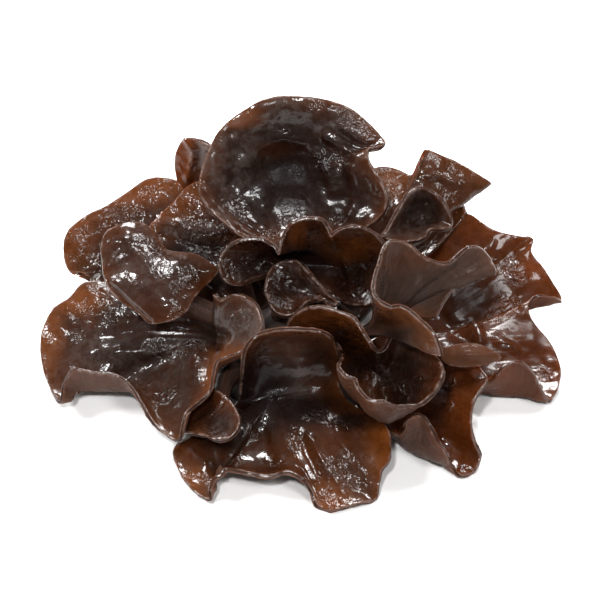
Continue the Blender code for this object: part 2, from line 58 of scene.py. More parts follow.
# %% From the picture to space and back
MM = 0.001
CLUMP_WIDTH = 0.140
CLUMP_WIDTH_DRAWN = 517
UNIT = CLUMP_WIDTH / CLUMP_WIDTH_DRAWN
DRAWING_CENTRE = (300, 300)
VIEW_ELEVATION = math.radians(42)
VIEW_DISTANCE = 0.675
VIEW_CENTRE = np.array((0.0, 0.006, 0.022))
TOWARD = np.array((0.0, -math.cos(VIEW_ELEVATION), math.sin(VIEW_ELEVATION)))
UPWARD = np.array((0.0, math.sin(VIEW_ELEVATION), math.cos(VIEW_ELEVATION)))
RIGHT = np.array((1.0, 0.0, 0.0))
UP = np.array((0.0, 0.0, 1.0))
EYE = VIEW_CENTRE + VIEW_DISTANCE * TOWARD


def seen(across, down, height):
    """The points at these heights, in mm, that show at these places of the picture."""
    across, down, height = (np.asarray(value, float)[..., None] for value in (across, down, height))
    ray = -VIEW_DISTANCE * TOWARD
    ray = ray + (across - DRAWING_CENTRE[0]) * UNIT * RIGHT
    ray = ray + (DRAWING_CENTRE[1] - down) * UNIT * UPWARD
    return EYE + ray * (height * MM - EYE[2]) / ray[..., 2:]


def drawn(points):
    """How far across and down the picture these points show."""
    away = points - EYE
    enlarged = VIEW_DISTANCE / (away @ -TOWARD) / UNIT
    return DRAWING_CENTRE[0] + (away @ RIGHT) * enlarged, DRAWING_CENTRE[1] - (away @ UPWARD) * enlarged


print("the middle of the picture shows", drawn(VIEW_CENTRE), "and lies at", seen(300, 300, 22))

# %% [markdown]
# ## The camera
# The picture was taken with a long lens from a little over forty degrees above the table, so the far
# ears are hardly smaller than the near ones. A 150 mm lens on a 36 mm film does the same.

# %% Camera
LENS = 150
FILM = 36


def placed(name, data, place=(0.0, 0.0, 0.0)):
    """A new object of the scene with this data, at this place."""
    thing = bpy.data.objects.new(name, data)
    thing.location = place
    bpy.context.scene.collection.objects.link(thing)
    return thing


camera_data = bpy.data.cameras.new("camera")
camera_data.lens = LENS
camera_data.sensor_width = FILM
camera = placed("camera", camera_data, EYE)
camera.rotation_euler = (math.pi / 2 - VIEW_ELEVATION, 0.0, 0.0)
bpy.context.scene.camera = camera
bpy.context.scene.view_settings.view_transform = "Standard"
print("the camera stands at", [round(c, 3) for c in camera.location])

# %% [markdown]
# ## The table
# A pale sheet that reaches past the edge of every view. It also throws light back up at the undersides
# of the lobes, as a white table does.

# %% Table
TABLE_REACH = 3.0
TABLE_SETTINGS = {"Base Color": (0.90, 0.895, 0.89, 1.0), "Roughness": 0.85, "Specular IOR Level": 0.1}


def new_paint(name, settings):
    """A new material and its shader, with these settings on the shader's sockets."""
    paint = bpy.data.materials.new(name)
    paint.use_nodes = True
    shader = paint.node_tree.nodes["Principled BSDF"]
    for label, value in settings.items():
        shader.inputs[label].default_value = value
    return paint, shader


table_mesh = bpy.data.meshes.new("table")
corners = [(x * TABLE_REACH, y * TABLE_REACH, 0.0) for x, y in ((-1, -1), (1, -1), (1, 1), (-1, 1))]
table_mesh.from_pydata(corners, [], [(0, 1, 2, 3)])
table = placed("table", table_mesh)
table_mesh.materials.append(new_paint("table_paint", TABLE_SETTINGS)[0])
print("the table is", 2 * TABLE_REACH, "m wide")

# %% [markdown]
# ## The light
# Wet skin shows its surroundings. The broad grey sheen on the ears is a large soft box above and behind
# them, seen in skin that lies flat; the small broken flecks are smaller and stronger boxes seen in
# ripples. A dim pale surround fills the shadows.

# %% Soft boxes and surround
SOFT_BOXES = {
    "back_box": ((-0.10, 0.75, 0.70), (0.34, 0.20), 9.0),
    "top_box": ((0.05, 0.36, 0.95), (0.20, 0.16), 8.5),
    "left_box": ((-0.75, 0.05, 0.60), (0.18, 0.18), 7.5),
    "right_box": ((0.70, 0.20, 0.65), (0.16, 0.16), 3.8),
    "front_box": ((0.42, -0.60, 0.92), (0.30, 0.30), 5.5),
    "viewer_box": ((-0.14, -0.60, 0.86), (0.09, 0.09), 6.5),
}
SURROUND = (1.0, 0.98, 0.95, 1.0)
SURROUND_STRENGTH = 0.17
for name, (place, sides, power) in SOFT_BOXES.items():
    box_data = bpy.data.lights.new(name, "AREA")
    box_data.shape = "RECTANGLE"
    box_data.size, box_data.size_y = sides
    box_data.energy = power
    box = placed(name, box_data, place)
    box.rotation_euler = (Vector(VIEW_CENTRE) - Vector(place)).to_track_quat("-Z", "Y").to_euler()
    print(name, "stands", round(Vector(place).length, 2), "m away")
surround = bpy.data.worlds.new("surround")
surround.use_nodes = True
surround_shader = surround.node_tree.nodes["Background"]
surround_shader.inputs["Color"].default_value = SURROUND
surround_shader.inputs["Strength"].default_value = SURROUND_STRENGTH
bpy.context.scene.world = surround

# %% [markdown]
# ## Lines of an ear
# An ear is a sheet. Every column of it leaves the foot, or the middle of a bowl, and bends out to one
# point of the rim, as a Bezier curve with four controls. The rim itself is a smooth curve through the
# measured points, with several columns between each two of them.

# %% Curves through points
STRAIGHTENING = 0.3


def lengths(vectors):
    """The length of each vector."""
    return np.linalg.norm(vectors, axis=-1, keepdims=True)


def unit(vectors):
    """The vectors, each made one long."""
    return vectors / lengths(vectors)


def neighbours(row, closed):
    """The values before and after each value of a row, which has ends unless it is closed."""
    before, after = np.roll(row, 1, axis=0), np.roll(row, -1, axis=0)
    if not closed:
        before[0], after[-1] = row[0], row[-1]
    return before, after


def smooth_line(points, closed, steps):
    """A smooth curve through the points, with this many steps from each to the next."""
    before, after = neighbours(points, closed)
    gap_before = lengths((points - before)[:, :3])
    gap_after = lengths((after - points)[:, :3])
    slopes = (after - before) / (gap_before + gap_after)
    spans = len(points) if closed else len(points) - 1
    t = np.linspace(0, 1, steps, endpoint=False)[None, :, None]
    leaving = (gap_after * slopes)[:spans, None]
    arriving = (gap_after * np.roll(slopes, -1, axis=0))[:spans, None]
    line = (2 * t**3 - 3 * t**2 + 1) * points[:spans, None] + (t**3 - 2 * t**2 + t) * leaving
    line = line + (3 * t**2 - 2 * t**3) * after[:spans, None] + (t**3 - t**2) * arriving
    line = line.reshape(-1, points.shape[1])
    return line if closed else np.vstack([line, points[-1:]])


def read_rim(rim, lift, closed, steps):
    """The rim as a smooth line: its points, the lift at each, and the share that runs straight."""
    rows = np.array([row if len(row) > 3 else (*row, lift, STRAIGHTENING) for row in rim], float)
    keys = np.hstack([seen(*rows[:, :3].T), rows[:, 3:]])
    line = smooth_line(keys, closed, steps)
    return keys[:, :3], line[:, :3], line[:, 3:4] * MM, line[:, 4:5]


print("a line through 3 points in 4 steps has", len(smooth_line(np.eye(3), False, 4)), "points")

# %% Columns
EASING_ROUNDS = 6
EASING_FADE = 1.3


def bezier(start, leave, arrive, end, t):
    """The points at t of the curves with these four controls."""
    near = (1 - t) ** 3 * start + 3 * (1 - t) ** 2 * t * leave
    return near + 3 * (1 - t) * t**2 * arrive + t**3 * end


def ease(top, rows, closed, steps):
    """The columns drawn towards their neighbours, so that the ruffles of the rim fade inwards."""
    for r, share in enumerate(rows):
        for _ in range(round(EASING_ROUNDS * steps**2 * (1 - share) ** EASING_FADE)):
            line = top[:, r]
            eased = (np.roll(line, 1, axis=0) + 2 * line + np.roll(line, -1, axis=0)) / 4
            if not closed:
                eased[0], eased[-1] = line[0], line[-1]
            top[:, r] = eased
    return top


print("a column of a straight root is halfway at", bezier(0, 1 / 3, 2 / 3, 1, 0.5))

# %% Where the ears leave the foot
FOOT_HALVES = np.array((0.022, 0.017, 0.022))
ROOT_GAP = 0.0006


def foot_point(turn, rise):
    """Points of the foot's skin, by the angle round the foot and the angle above the table."""
    turn, rise = np.radians(turn), np.radians(rise)
    shares = np.cos(turn) * np.cos(rise), np.sin(turn) * np.cos(rise), np.sin(rise)
    return np.stack(np.broadcast_arrays(*shares), axis=-1) * FOOT_HALVES


def foot_outward(turn, rise):
    """The directions straight out of the foot's skin there."""
    return unit(foot_point(turn, rise) / FOOT_HALVES**2)


print("the foot's crown is at", foot_point(0, 90))

# %% [markdown]
# ## Folds in a sheet
# Soaked ears are creased: the sheet rises in a low ridge or sinks in a groove along a line. Each fold is
# a line drawn on the picture with a width and a height. Both sides of the sheet move together, so a
# ridge on top is a hollow below.

# %% Folds
SPOT_REACH = 1.6


def line_distance(across, down, path):
    """How far each place of the picture is from a line of points."""
    places = np.stack([across, down], axis=-1)
    path = np.array(path, float)
    nearest = np.full(across.shape, np.inf)
    for start, end in zip(path, path[1:]):
        along = end - start
        share = np.clip(((places - start) @ along) / (along @ along), 0, 1)
        nearest = np.minimum(nearest, np.linalg.norm(places - start - share[..., None] * along, axis=-1))
    return nearest


def fold_heights(points, folds):
    """How far the folds push these points of a sheet up, in metres."""
    across, down = drawn(points)
    heights = np.zeros(across.shape)
    for width, height, path in folds:
        heights += height * MM * np.exp(-((line_distance(across, down, path) / width) ** 2))
    return heights


def spots(points, marks):
    """How strongly the points lie in soft patches: across, down, half width, half height and strength."""
    across, down = drawn(points)
    strength = np.zeros(across.shape)
    for x, y, wide, tall, mark in marks:
        far = np.hypot((across - x) / wide, (down - y) / tall)
        strength = np.maximum(strength, mark * np.clip(SPOT_REACH - far, 0, 1))
    return strength


print("a fold 4 wide is at half its height", round(4 * math.sqrt(math.log(2)), 1), "units from its line")

# %% [markdown]
# ## The two sides and the edge of a sheet
# A sheet gets its underside by going down from the upper side by its thickness, which is most at the
# root. The cut edge between the two shows as a thin band with a raised border on each side, so it gets
# a few rows of points of its own.

# %% Thickness and edge
RIM_THICKNESS = 0.0012
ROOT_THICKNESS = 0.0026
EDGE_PROFILE = (
    (0.03, 0.16), (0.12, 0.30), (0.30, 0.30), (0.5, 0.24), (0.70, 0.30), (0.88, 0.30), (0.97, 0.16),
)
SMOOTHING_ROUNDS = 3
ROW_COUNT = 42
ROW_CROWDING = 1.3
COLUMN_ROWS = 1 - (1 - np.linspace(0, 1, ROW_COUNT)) ** ROW_CROWDING


def sheet_normals(top, up, closed):
    """The directions straight up from the upper side, smoothed a little along the rim."""
    if closed:
        along = np.roll(top, -1, axis=0) - np.roll(top, 1, axis=0)
    else:
        along = np.gradient(top, axis=0)
    normals = unit(np.cross(along, np.gradient(top, axis=1)))
    for _ in range(SMOOTHING_ROUNDS):
        before, after = neighbours(normals, closed)
        normals = unit(before + 2 * normals + after)
    return -normals if (normals @ up).mean() < 0 else normals


def two_sides(top, rows, up, closed, steps, look):
    """The upper side, eased and folded, with the directions up from it and the underside."""
    top = ease(top, rows, closed, steps)
    top = top + sheet_normals(top, up, closed) * fold_heights(top, look.get("folds", ()))[..., None]
    normals = sheet_normals(top, up, closed)
    thickness = (RIM_THICKNESS + (ROOT_THICKNESS - RIM_THICKNESS) * (1 - rows) ** 2)[None, :, None]
    return top, normals, top - normals * thickness


def edge_rows(top, under):
    """Rows of points round the edge, from the rim of the upper side to the rim of the underside."""
    out = unit(top[:, -1] - top[:, -2])
    across = under[:, -1] - top[:, -1]
    return [top[:, -1] + across * share + out * lengths(across) * bulge for share, bulge in EDGE_PROFILE]


def facing(loop):
    """The direction that a closed loop faces, turned to the upper side."""
    area = unit(np.cross(loop, np.roll(loop, -1, axis=0)).sum(axis=0))
    return -area if area[2] < 0 else area


print("a column has", ROW_COUNT, "rows, the last", round(1 - COLUMN_ROWS[-2], 4), "of its length wide")

# %% [markdown]
# ## From rows of points to a mesh
# The skin of an ear is a row of rings: out over the upper side, round the edge and back along the
# underside. Faces join each ring to the next. Every point also carries what the paint needs to know: how
# far it is from the rim, whether it is underneath, which way the sheet's grain runs, and how amber,
# hazy with painted sheen, dark with painted shade, dull or rippled the skin is there.

# %% Rings to mesh
TABLE_GAP = 0.0002


def ring_faces(count, rings, closed):
    """Four-cornered faces between rings of this many points."""
    this = np.arange(count if closed else count - 1)
    following = (this + 1) % count
    starts = (np.arange(rings - 1) * count)[:, None]
    corners = [starts + this, starts + count + this, starts + count + following, starts + following]
    return np.stack(corners, axis=-1).reshape(-1, 4).tolist()


def mesh_of(name, faces, points, carried):
    """A mesh with smooth faces that point out, and the numbers and vectors that its points carry."""
    points = points.copy()
    points[:, 2] = np.maximum(points[:, 2], TABLE_GAP)
    triangles = np.array([(f[0], f[k], f[k + 1]) for f in faces for k in range(1, len(f) - 1)])
    if np.linalg.det(points[triangles]).sum() < 0:
        faces = [face[::-1] for face in faces]
    mesh = bpy.data.meshes.new(name)
    mesh.from_pydata(points.tolist(), [], faces)
    for label, values in carried.items():
        kind, field = ("FLOAT_VECTOR", "vector") if values.ndim == 2 else ("FLOAT", "value")
        layer = mesh.attributes.new(label, kind, "POINT")
        layer.data.foreach_set(field, values.astype(np.float32).ravel())
    mesh.shade_smooth()
    return mesh


def joined(rings):
    """The points of all rings in one row, and what they carry."""
    numbers = {label: np.concatenate([ring[label] for ring in rings]) for label in rings[0]}
    return numbers.pop("points"), numbers


print("the points stay", TABLE_GAP / MM, "mm above the table")

# %% [markdown]
# ## What the paint needs to know
# Amber light comes through where the skin is thin, near a rim and in some lobes, and the amber is partly
# the skin's own colour and partly a painted glow of that light. The haze roughens the film and paints a
# grey sheen, a painted reflection of the soft boxes, and ripples break a highlight into flecks. Dark marks
# paint near black shade into hollows, gaps and places under other ears, and dull ones have no water film.
# The marks of an ear say where on the picture each of them is strong; the rest follows from the distance
# to the rim.

# %% Numbers that every point carries
# Amber near a rim: partly the thin skin's colour, partly a painted glow of light through it.
RIM_GLOW = 0.0035
GRAIN_STRETCH = 0.22
LEAST_SWAY = 0.3
SWAY_GROWTH = 2.0
# The haze also paints a grey sheen, and the dark marks paint near black shade.
PLAIN_LOOK = {"amber": 0.05, "haze": 0.15, "ripple": 0.25, "dark": 0.0, "dull": 0.0}


def skin_numbers(rings, look):
    """The points of a whole skin, and what they carry."""
    points, numbers = joined(rings)
    glow = look["rim_amber"] * np.exp(-numbers["inward"] / RIM_GLOW)
    for label, plain in PLAIN_LOOK.items():
        base = look.get(label, plain) + (glow if label == "amber" else 0)
        numbers[label] = np.clip(base + spots(points, look.get(label + "s", ())), 0, 1)
    return points, numbers


def sheet_rings(top, under, normals, first_under):
    """The rings over the upper side, round the edge and back along the underside to this row."""
    pieces = lengths(np.diff(top, axis=1))[..., 0]
    inward = np.zeros(top.shape[:2])
    inward[:, :-1] = np.cumsum(pieces[:, ::-1], axis=1)[:, ::-1]
    steady = np.clip(inward[:, :1] / inward.max(), LEAST_SWAY, 1)
    rings = []

    def add(points, row, side, edge):
        rings.append(
            {
                "points": points,
                "inward": inward[:, row],
                "under": np.full(len(points), side),
                "edge": np.full(len(points), edge),
                "sway": normals[:, row] * min(1.0, row / ROW_COUNT * SWAY_GROWTH) * steady,
                "grain": top[:, -1] + UP * GRAIN_STRETCH * inward[:, row, None],
            }
        )

    for row in range(ROW_COUNT):
        add(top[:, row], row, 0.0, 0.0)
    for (share, _), points in zip(EDGE_PROFILE, edge_rows(top, under)):
        add(points, ROW_COUNT - 1, share, 1.0 - abs(2 * share - 1))
    for row in range(ROW_COUNT - 1, first_under - 1, -1):
        add(under[:, row], row, 1.0, 0.0)
    return rings


print("the glow of a rim fades over", RIM_GLOW / MM, "mm")

# %% [markdown]
# ## Two kinds of ear
# A fan leaves the foot along a short root and spreads to its rim. A cup has a bowl with a rim all the
# way round and stands on a stalk that narrows down to the foot. Both are rings of points in the order in
# which a finger would stroke the skin.

# %% Fan
def fan_skin(name, rim, turn, spread, rise, leave, lift=0, steps=7, **look):
    """The mesh of a fan: columns from a short root on the foot out to the rim."""
    _, ends, lifts, straight = read_rim(rim, lift, False, steps)
    angles = np.linspace(turn - spread, turn + spread, len(ends))
    outward = foot_outward(angles, rise)
    start = foot_point(angles, rise) + ROOT_GAP * outward
    away = start + leave * lengths(ends - start) * outward
    arrive = ends + straight * (start - ends) + lifts * UP
    t = COLUMN_ROWS[None, :, None]
    top = bezier(start[:, None], away[:, None], arrive[:, None], ends[:, None], t)
    top, normals, under = two_sides(top, COLUMN_ROWS, UP, False, steps, look)
    rings = sheet_rings(top, under, normals, 0)
    count, levels = len(ends), len(rings)
    faces = ring_faces(count, levels, False)
    back_row = (levels - 1) * count
    faces += [(back_row + i, i, i + 1, back_row + i + 1) for i in range(count - 1)]
    for side in (0, count - 1):
        upper = [row * count + side for row in range(ROW_COUNT)]
        lower = [(levels - 1 - row) * count + side for row in range(ROW_COUNT)]
        faces += [(upper[r], upper[r + 1], lower[r + 1], lower[r]) for r in range(ROW_COUNT - 1)]
        faces.append([row * count + side for row in range(ROW_COUNT - 1, levels - ROW_COUNT + 1)])
    return mesh_of(name, faces, *skin_numbers(rings, look))


print("a fan starts", ROOT_GAP / MM, "mm off the foot")

# %% Cup
STALK_RADIUS = 0.0030
STALK_BEND = 1 / 3
STALK_ROWS = 14
BOWL_START = 0.03
STALK_SHARE = 0.16


def stalk_rings(ring, middle, up, turn, rise):
    """Rings that narrow from the underside of a cup down to its root on the foot."""
    outward = foot_outward(turn, rise)
    root = foot_point(turn, rise) + 2 * ROOT_GAP * outward
    span = np.linalg.norm(middle - root)
    below = middle - up * STALK_BEND * min(span, middle[2])
    beside = root + outward * STALK_BEND * span
    around = ring - ring.mean(axis=0)
    side = unit(np.cross(outward, UP))
    other = np.cross(side, outward)
    bend = np.array(Vector(up).rotation_difference(Vector(outward)).to_matrix())
    starts = [bend @ around[k] for k in (0, len(ring) // 4)]
    first, second = (math.atan2(start @ other, start @ side) for start in starts)
    sense = 1 if math.sin(second - first) > 0 else -1
    angles = first + sense * np.linspace(0, math.tau, len(ring), endpoint=False)[:, None]
    root_ring = STALK_RADIUS * (np.cos(angles) * side + np.sin(angles) * other)
    rings = []
    for step in range(1, STALK_ROWS + 1):
        t = step / STALK_ROWS
        narrow = 1 - (1 - t) ** 2
        path = bezier(ring.mean(axis=0), below, beside, root, t)
        rings.append(path + around * (1 - narrow) + root_ring * narrow)
    return rings


def close_ends(faces, count, levels):
    """Adds the faces that close the first and the last ring round two middle points, which come last."""
    first_middle, last_middle, last_ring = levels * count, levels * count + 1, (levels - 1) * count
    for i in range(count):
        j = (i + 1) % count
        faces.append((first_middle, i, j))
        faces.append((last_middle, last_ring + j, last_ring + i))
    return faces


def cup_skin(name, rim, turn, rise, middle, leave, lift=0, steps=7, **look):
    """The mesh of a cup: columns from its middle out to a closed rim, on a stalk from the foot."""
    keys, ends, lifts, straight = read_rim(rim, lift, True, steps)
    centre = seen(*middle)
    up = facing(keys)
    outward = ends - centre
    away = centre + leave * (outward - up * (outward @ up)[:, None])
    arrive = ends - straight * outward + up * lifts
    rows = BOWL_START + (1 - BOWL_START) * COLUMN_ROWS
    top = bezier(centre, away[:, None], arrive[:, None], ends[:, None], rows[None, :, None])
    top, normals, under = two_sides(top, rows, up, True, steps, look)
    rings = sheet_rings(top, under, normals, int(np.searchsorted(rows, STALK_SHARE)))
    last = rings[-1]
    for points in stalk_rings(last["points"], centre - up * ROOT_THICKNESS, up, turn, rise):
        rings.append({**last, "points": points, "sway": last["sway"] * 0.0})
    count, levels = len(ends), len(rings)
    faces = close_ends(ring_faces(count, levels, True), count, levels)
    for ring in (rings[0], rings[-1]):
        rings.append({label: values.mean(axis=0, keepdims=True) for label, values in ring.items()})
    return mesh_of(name, faces, *skin_numbers(rings, look))


print("a cup's stalk has", STALK_ROWS, "rings")

# %% [markdown]
# ## Relief that follows the skin
# Swells, wrinkles and ripples cover every ear and follow its surface, so Geometry Nodes make them.
# Swells push both sides of the sheet the same way, along the sway that each point carries. Wrinkles run
# with the grain, from the root to the rim, and are deepest underneath. Ripples are small and only where
# the skin carries them. The seed moves the noise to another place for every ear.

# %% Node helpers
def wire(tree, kind, settings=None, inputs=None):
    """A new node with these settings, and with these values or links on its sockets."""
    made = tree.nodes.new(kind)
    for label, value in (settings or {}).items():
        setattr(made, label, value)
    for socket, value in (inputs or {}).items():
        if isinstance(value, bpy.types.NodeSocket):
            tree.links.new(value, made.inputs[socket])
        else:
            made.inputs[socket].default_value = value
    return made


def times(tree, first, second):
    """The product of two numbers."""
    return wire(tree, "ShaderNodeMath", {"operation": "MULTIPLY"}, {0: first, 1: second}).outputs[0]


def plus(tree, first, second):
    """The sum of two numbers."""
    return wire(tree, "ShaderNodeMath", {"operation": "ADD"}, {0: first, 1: second}).outputs[0]


def carried(tree, name, kind="FLOAT"):
    """A number or vector that the points carry, inside Geometry Nodes."""
    reader = wire(tree, "GeometryNodeInputNamedAttribute", {"data_type": kind}, {"Name": name})
    return reader.outputs["Attribute"]


def along(tree, direction, distance):
    """A step of this length in a direction."""
    inputs = {0: direction, "Scale": distance}
    return wire(tree, "ShaderNodeVectorMath", {"operation": "SCALE"}, inputs).outputs[0]


print("five helpers make nodes:", [make.__name__ for make in (wire, times, plus, carried, along)])

# %% Relief tree
RELIEF_INPUTS = {
    "Swell Height": 0.0009,
    "Swell Size": 0.009,
    "Wrinkle Height": 0.00022,
    "Wrinkle Size": 0.0016,
    "Ripple Height": 0.00030,
    "Ripple Size": 0.0022,
    "Seed": 0.0,
}
RELIEF_DETAIL = 2.0
NOISE_GAIN = 3.0
UPPER_WRINKLES = 0.15


def bumps(tree, place, given, label):
    """Noise up and down, of the size and height that the tree is given under this label."""
    size = given[label + " Size"]
    parts = wire(tree, "ShaderNodeCombineXYZ", None, {0: size, 1: size, 2: size}).outputs[0]
    spread = wire(tree, "ShaderNodeVectorMath", {"operation": "DIVIDE"}, {0: place, 1: parts}).outputs[0]
    inputs = {"Vector": spread, "W": given["Seed"], "Scale": 1.0, "Detail": RELIEF_DETAIL}
    noise = wire(tree, "ShaderNodeTexNoise", {"noise_dimensions": "4D"}, inputs).outputs[0]
    centred = plus(tree, times(tree, noise, NOISE_GAIN), -NOISE_GAIN / 2)
    return times(tree, centred, given[label + " Height"])


def relief_tree():
    """The tree that lifts swells, wrinkles and ripples on an ear."""
    tree = bpy.data.node_groups.new("skin_relief", "GeometryNodeTree")
    tree.interface.new_socket("Geometry", in_out="INPUT", socket_type="NodeSocketGeometry")
    for label, value in RELIEF_INPUTS.items():
        socket = tree.interface.new_socket(label, in_out="INPUT", socket_type="NodeSocketFloat")
        socket.default_value = value
    tree.interface.new_socket("Skin", in_out="INPUT", socket_type="NodeSocketMaterial")
    tree.interface.new_socket("Geometry", in_out="OUTPUT", socket_type="NodeSocketGeometry")
    given = tree.nodes.new("NodeGroupInput").outputs
    place = tree.nodes.new("GeometryNodeInputPosition").outputs[0]
    normal = tree.nodes.new("GeometryNodeInputNormal").outputs[0]
    swell = bumps(tree, place, given, "Swell")
    wrinkle = bumps(tree, carried(tree, "grain", "FLOAT_VECTOR"), given, "Wrinkle")
    ripple = bumps(tree, place, given, "Ripple")
    deeper = plus(tree, times(tree, carried(tree, "under"), 1 - UPPER_WRINKLES), UPPER_WRINKLES)
    lifted = plus(tree, times(tree, wrinkle, deeper), times(tree, ripple, carried(tree, "ripple")))
    steps = {0: along(tree, carried(tree, "sway", "FLOAT_VECTOR"), swell), 1: along(tree, normal, lifted)}
    both = wire(tree, "ShaderNodeVectorMath", {"operation": "ADD"}, steps).outputs[0]
    moved = wire(tree, "GeometryNodeSetPosition", None, {"Geometry": given["Geometry"], "Offset": both})
    real = wire(tree, "GeometryNodeRealizeInstances", None, {"Geometry": moved.outputs[0]})
    painted = {"Geometry": real.outputs[0], "Material": given["Skin"]}
    skinned = wire(tree, "GeometryNodeSetMaterial", None, painted)
    wire(tree, "NodeGroupOutput", None, {"Geometry": skinned.outputs[0]})
    return tree


relief = relief_tree()
relief_items = [item for item in relief.interface.items_tree if item.in_out == "INPUT"]
relief_sockets = {item.name: item.identifier for item in relief_items}
print("the relief tree has", len(relief.nodes), "nodes and the inputs", sorted(relief_sockets))

# %% [markdown]
# ## Dressing an ear
# The relief is set by the sockets' identifiers, evaluated, and taken off as a plain mesh. The finished
# skin rides on the clump's one body, stands for the imported ear below it, and takes the material that it
# is given.

# %% Relief and body
def seated(mesh):
    """Keeps every point of the mesh on or above the table, and returns the points."""
    places = np.zeros(len(mesh.vertices) * 3, np.float32)
    mesh.vertices.foreach_get("co", places)
    places[2::3] = np.maximum(places[2::3], TABLE_GAP)
    mesh.vertices.foreach_set("co", places)
    mesh.update()
    return places.reshape(-1, 3)


def dress(mesh, node, skin, seed, relief_changes=None):
    """Finishes a piece: the mesh with its relief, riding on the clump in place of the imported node."""
    raw = placed(mesh.name, mesh)
    modifier = raw.modifiers.new("relief", "NODES")
    modifier.node_group = relief
    values = {**RELIEF_INPUTS, "Seed": float(seed), "Skin": skin, **(relief_changes or {})}
    for label, value in values.items():
        modifier[relief_sockets[label]] = value
    bpy.context.view_layer.update()
    graph = bpy.context.evaluated_depsgraph_get()
    evaluated = raw.evaluated_get(graph)
    finished = bpy.data.meshes.new_from_object(evaluated, preserve_all_data_layers=True, depsgraph=graph)
    raw.modifiers.remove(modifier)
    places = seated(finished)
    finished.shade_smooth()
    raw.data = finished
    raw.data.name = mesh.name + "_mesh"
    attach(raw, "root")
    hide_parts(node)
    low, high = (np.array(corner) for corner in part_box(node))
    proud = max((low - places.min(axis=0)).max(), (places.max(axis=0) - high).max())
    print(raw.name, "has", len(finished.polygons), "faces, and stands", round(proud / MM, 1), "mm proud")


# %% [markdown]
# ## The paint of the wet skin
# One recipe with four sets of colours. On the upper side the dark pigment gives way to amber where the
# sheet lets light through, partly its own colour and partly a painted glow, and to a grey painted sheen:
# a rough half dry film painted with the reflection of the soft boxes. The underside is a dull grey brown,
# painted darker in the furrows of its wrinkles as shade. Near the foot and under painted shade marks the
# colour goes near black as painted shade. The edge is a brown band between two pale borders, partly paler
# skin and partly a painted highlight where the rounded edge catches the light. Light enters the sheet a
# little way, so the thin lobes glow. A clear coat is the water film; ripples and pores bend it.

# %% Paint nodes
def carried_paint(tree, name, output="Fac"):
    """A number or vector that the points carry, inside a material."""
    return wire(tree, "ShaderNodeAttribute", {"attribute_name": name}).outputs[output]


def speckle(tree, place, size, detail, distortion=0.0, roughness=0.55):
    """Noise of this size, from about zero to one."""
    inputs = {"Vector": place, "Scale": 1 / size, "Detail": detail, "Distortion": distortion}
    return wire(tree, "ShaderNodeTexNoise", None, {**inputs, "Roughness": roughness}).outputs[0]


def between(tree, value, low, high, start=0.0, end=1.0):
    """The value moved from low and high to start and end, and held there."""
    inputs = {0: value, 1: low, 2: high, 3: start, 4: end}
    return wire(tree, "ShaderNodeMapRange", {"interpolation_type": "SMOOTHSTEP"}, inputs).outputs[0]


def blend(tree, share, first, second):
    """The colour that is the first where the share is zero and the second where it is one."""
    return wire(tree, "ShaderNodeMix", {"data_type": "RGBA"}, {0: share, 6: first, 7: second}).outputs[2]


def raised(tree, height, strength, distance, below=None):
    """A bump from this height, over another bump."""
    inputs = {"Height": height, "Strength": strength, "Distance": distance}
    if below is not None:
        inputs["Normal"] = below
    return wire(tree, "ShaderNodeBump", None, inputs).outputs[0]


print("five more make paint:", [make.__name__ for make in (carried_paint, speckle, between, blend, raised)])

# %% Skin colours
# The colour of thin skin is partly its own amber and partly a painted glow of the light through it.
SKIN_KINDS = {
    "dark_ear": {
        "upper": (0.0062, 0.0022, 0.0014), "warm": (0.0175, 0.0052, 0.0026), "thin_glow": (0.090, 0.024, 0.0042),
        "below": (0.038, 0.0190, 0.0135), "gloss": 0.28, "glow": 0.15,
    },
    "brown_ear": {
        "upper": (0.0085, 0.0031, 0.0018), "warm": (0.024, 0.0069, 0.0030), "thin_glow": (0.095, 0.025, 0.0038),
        "below": (0.070, 0.0370, 0.0270), "gloss": 0.28, "glow": 0.30,
    },
    "amber_ear": {
        "upper": (0.0110, 0.0034, 0.0014), "warm": (0.027, 0.0062, 0.0018), "thin_glow": (0.092, 0.0200, 0.0030),
        "below": (0.048, 0.0240, 0.0165), "gloss": 0.26, "glow": 0.50,
    },
    "pale_ear": {
        "upper": (0.024, 0.0135, 0.0100), "warm": (0.032, 0.0150, 0.0100), "thin_glow": (0.095, 0.028, 0.0072),
        "below": (0.048, 0.0280, 0.0215), "gloss": 0.42, "glow": 0.15,
    },
}
# The grey of the painted sheen, a painted reflection of the soft boxes.
PAINTED_SHEEN = (0.042, 0.0290, 0.0245, 1.0)
# The near black of the painted shade.
SHADE_BLACK = (0.0055, 0.0025, 0.0019, 1.0)
EDGE_BAND = (0.019, 0.0080, 0.0052, 1.0)
# The pale borders of the edge: partly paler skin, partly a painted highlight where the rounded edge catches
# the light.
PALE_EDGE_AND_HIGHLIGHT = (0.105, 0.066, 0.053, 1.0)
# How much darker the underside is painted in its furrows, as shade.
WRINKLE_SHADE = 0.55
print("there are", len(SKIN_KINDS), "kinds of skin")

# %% Noises and ranges of the paint
# The noises: size, detail, distortion and roughness
BROAD_NOISE = (0.012, 3.0)
MOTTLE_NOISE = (0.0022, 4.0, 0.4, 0.65)
STREAK_NOISE = (0.0015, 3.0, 0.2, 0.6)
PORE_NOISE = (0.0007, 2.0)
FLECK_NOISE = (0.0026, 3.0, 0.8)
PATCH_NOISE = (0.0070, 2.0)
PORE_DEPTH = 0.00006
PORE_STRENGTH = 0.35
FURROW_DEPTH = 0.0003
FLECK_DEPTH = 0.0018
FILM_DEPTH = 0.0015
HAZE_ROUGHNESS = 0.16
# The ranges: low and high, then what they become where that isn't zero and one
SIDES = (0.4, 0.6)
SIDE_LINE = (0.45, 0.55)
WARM_PATCHES = (0.40, 0.72)
# Where the underside's furrows are painted darker as shade.
WRINKLES = (0.65, 0.30, 0.0, 0.6)
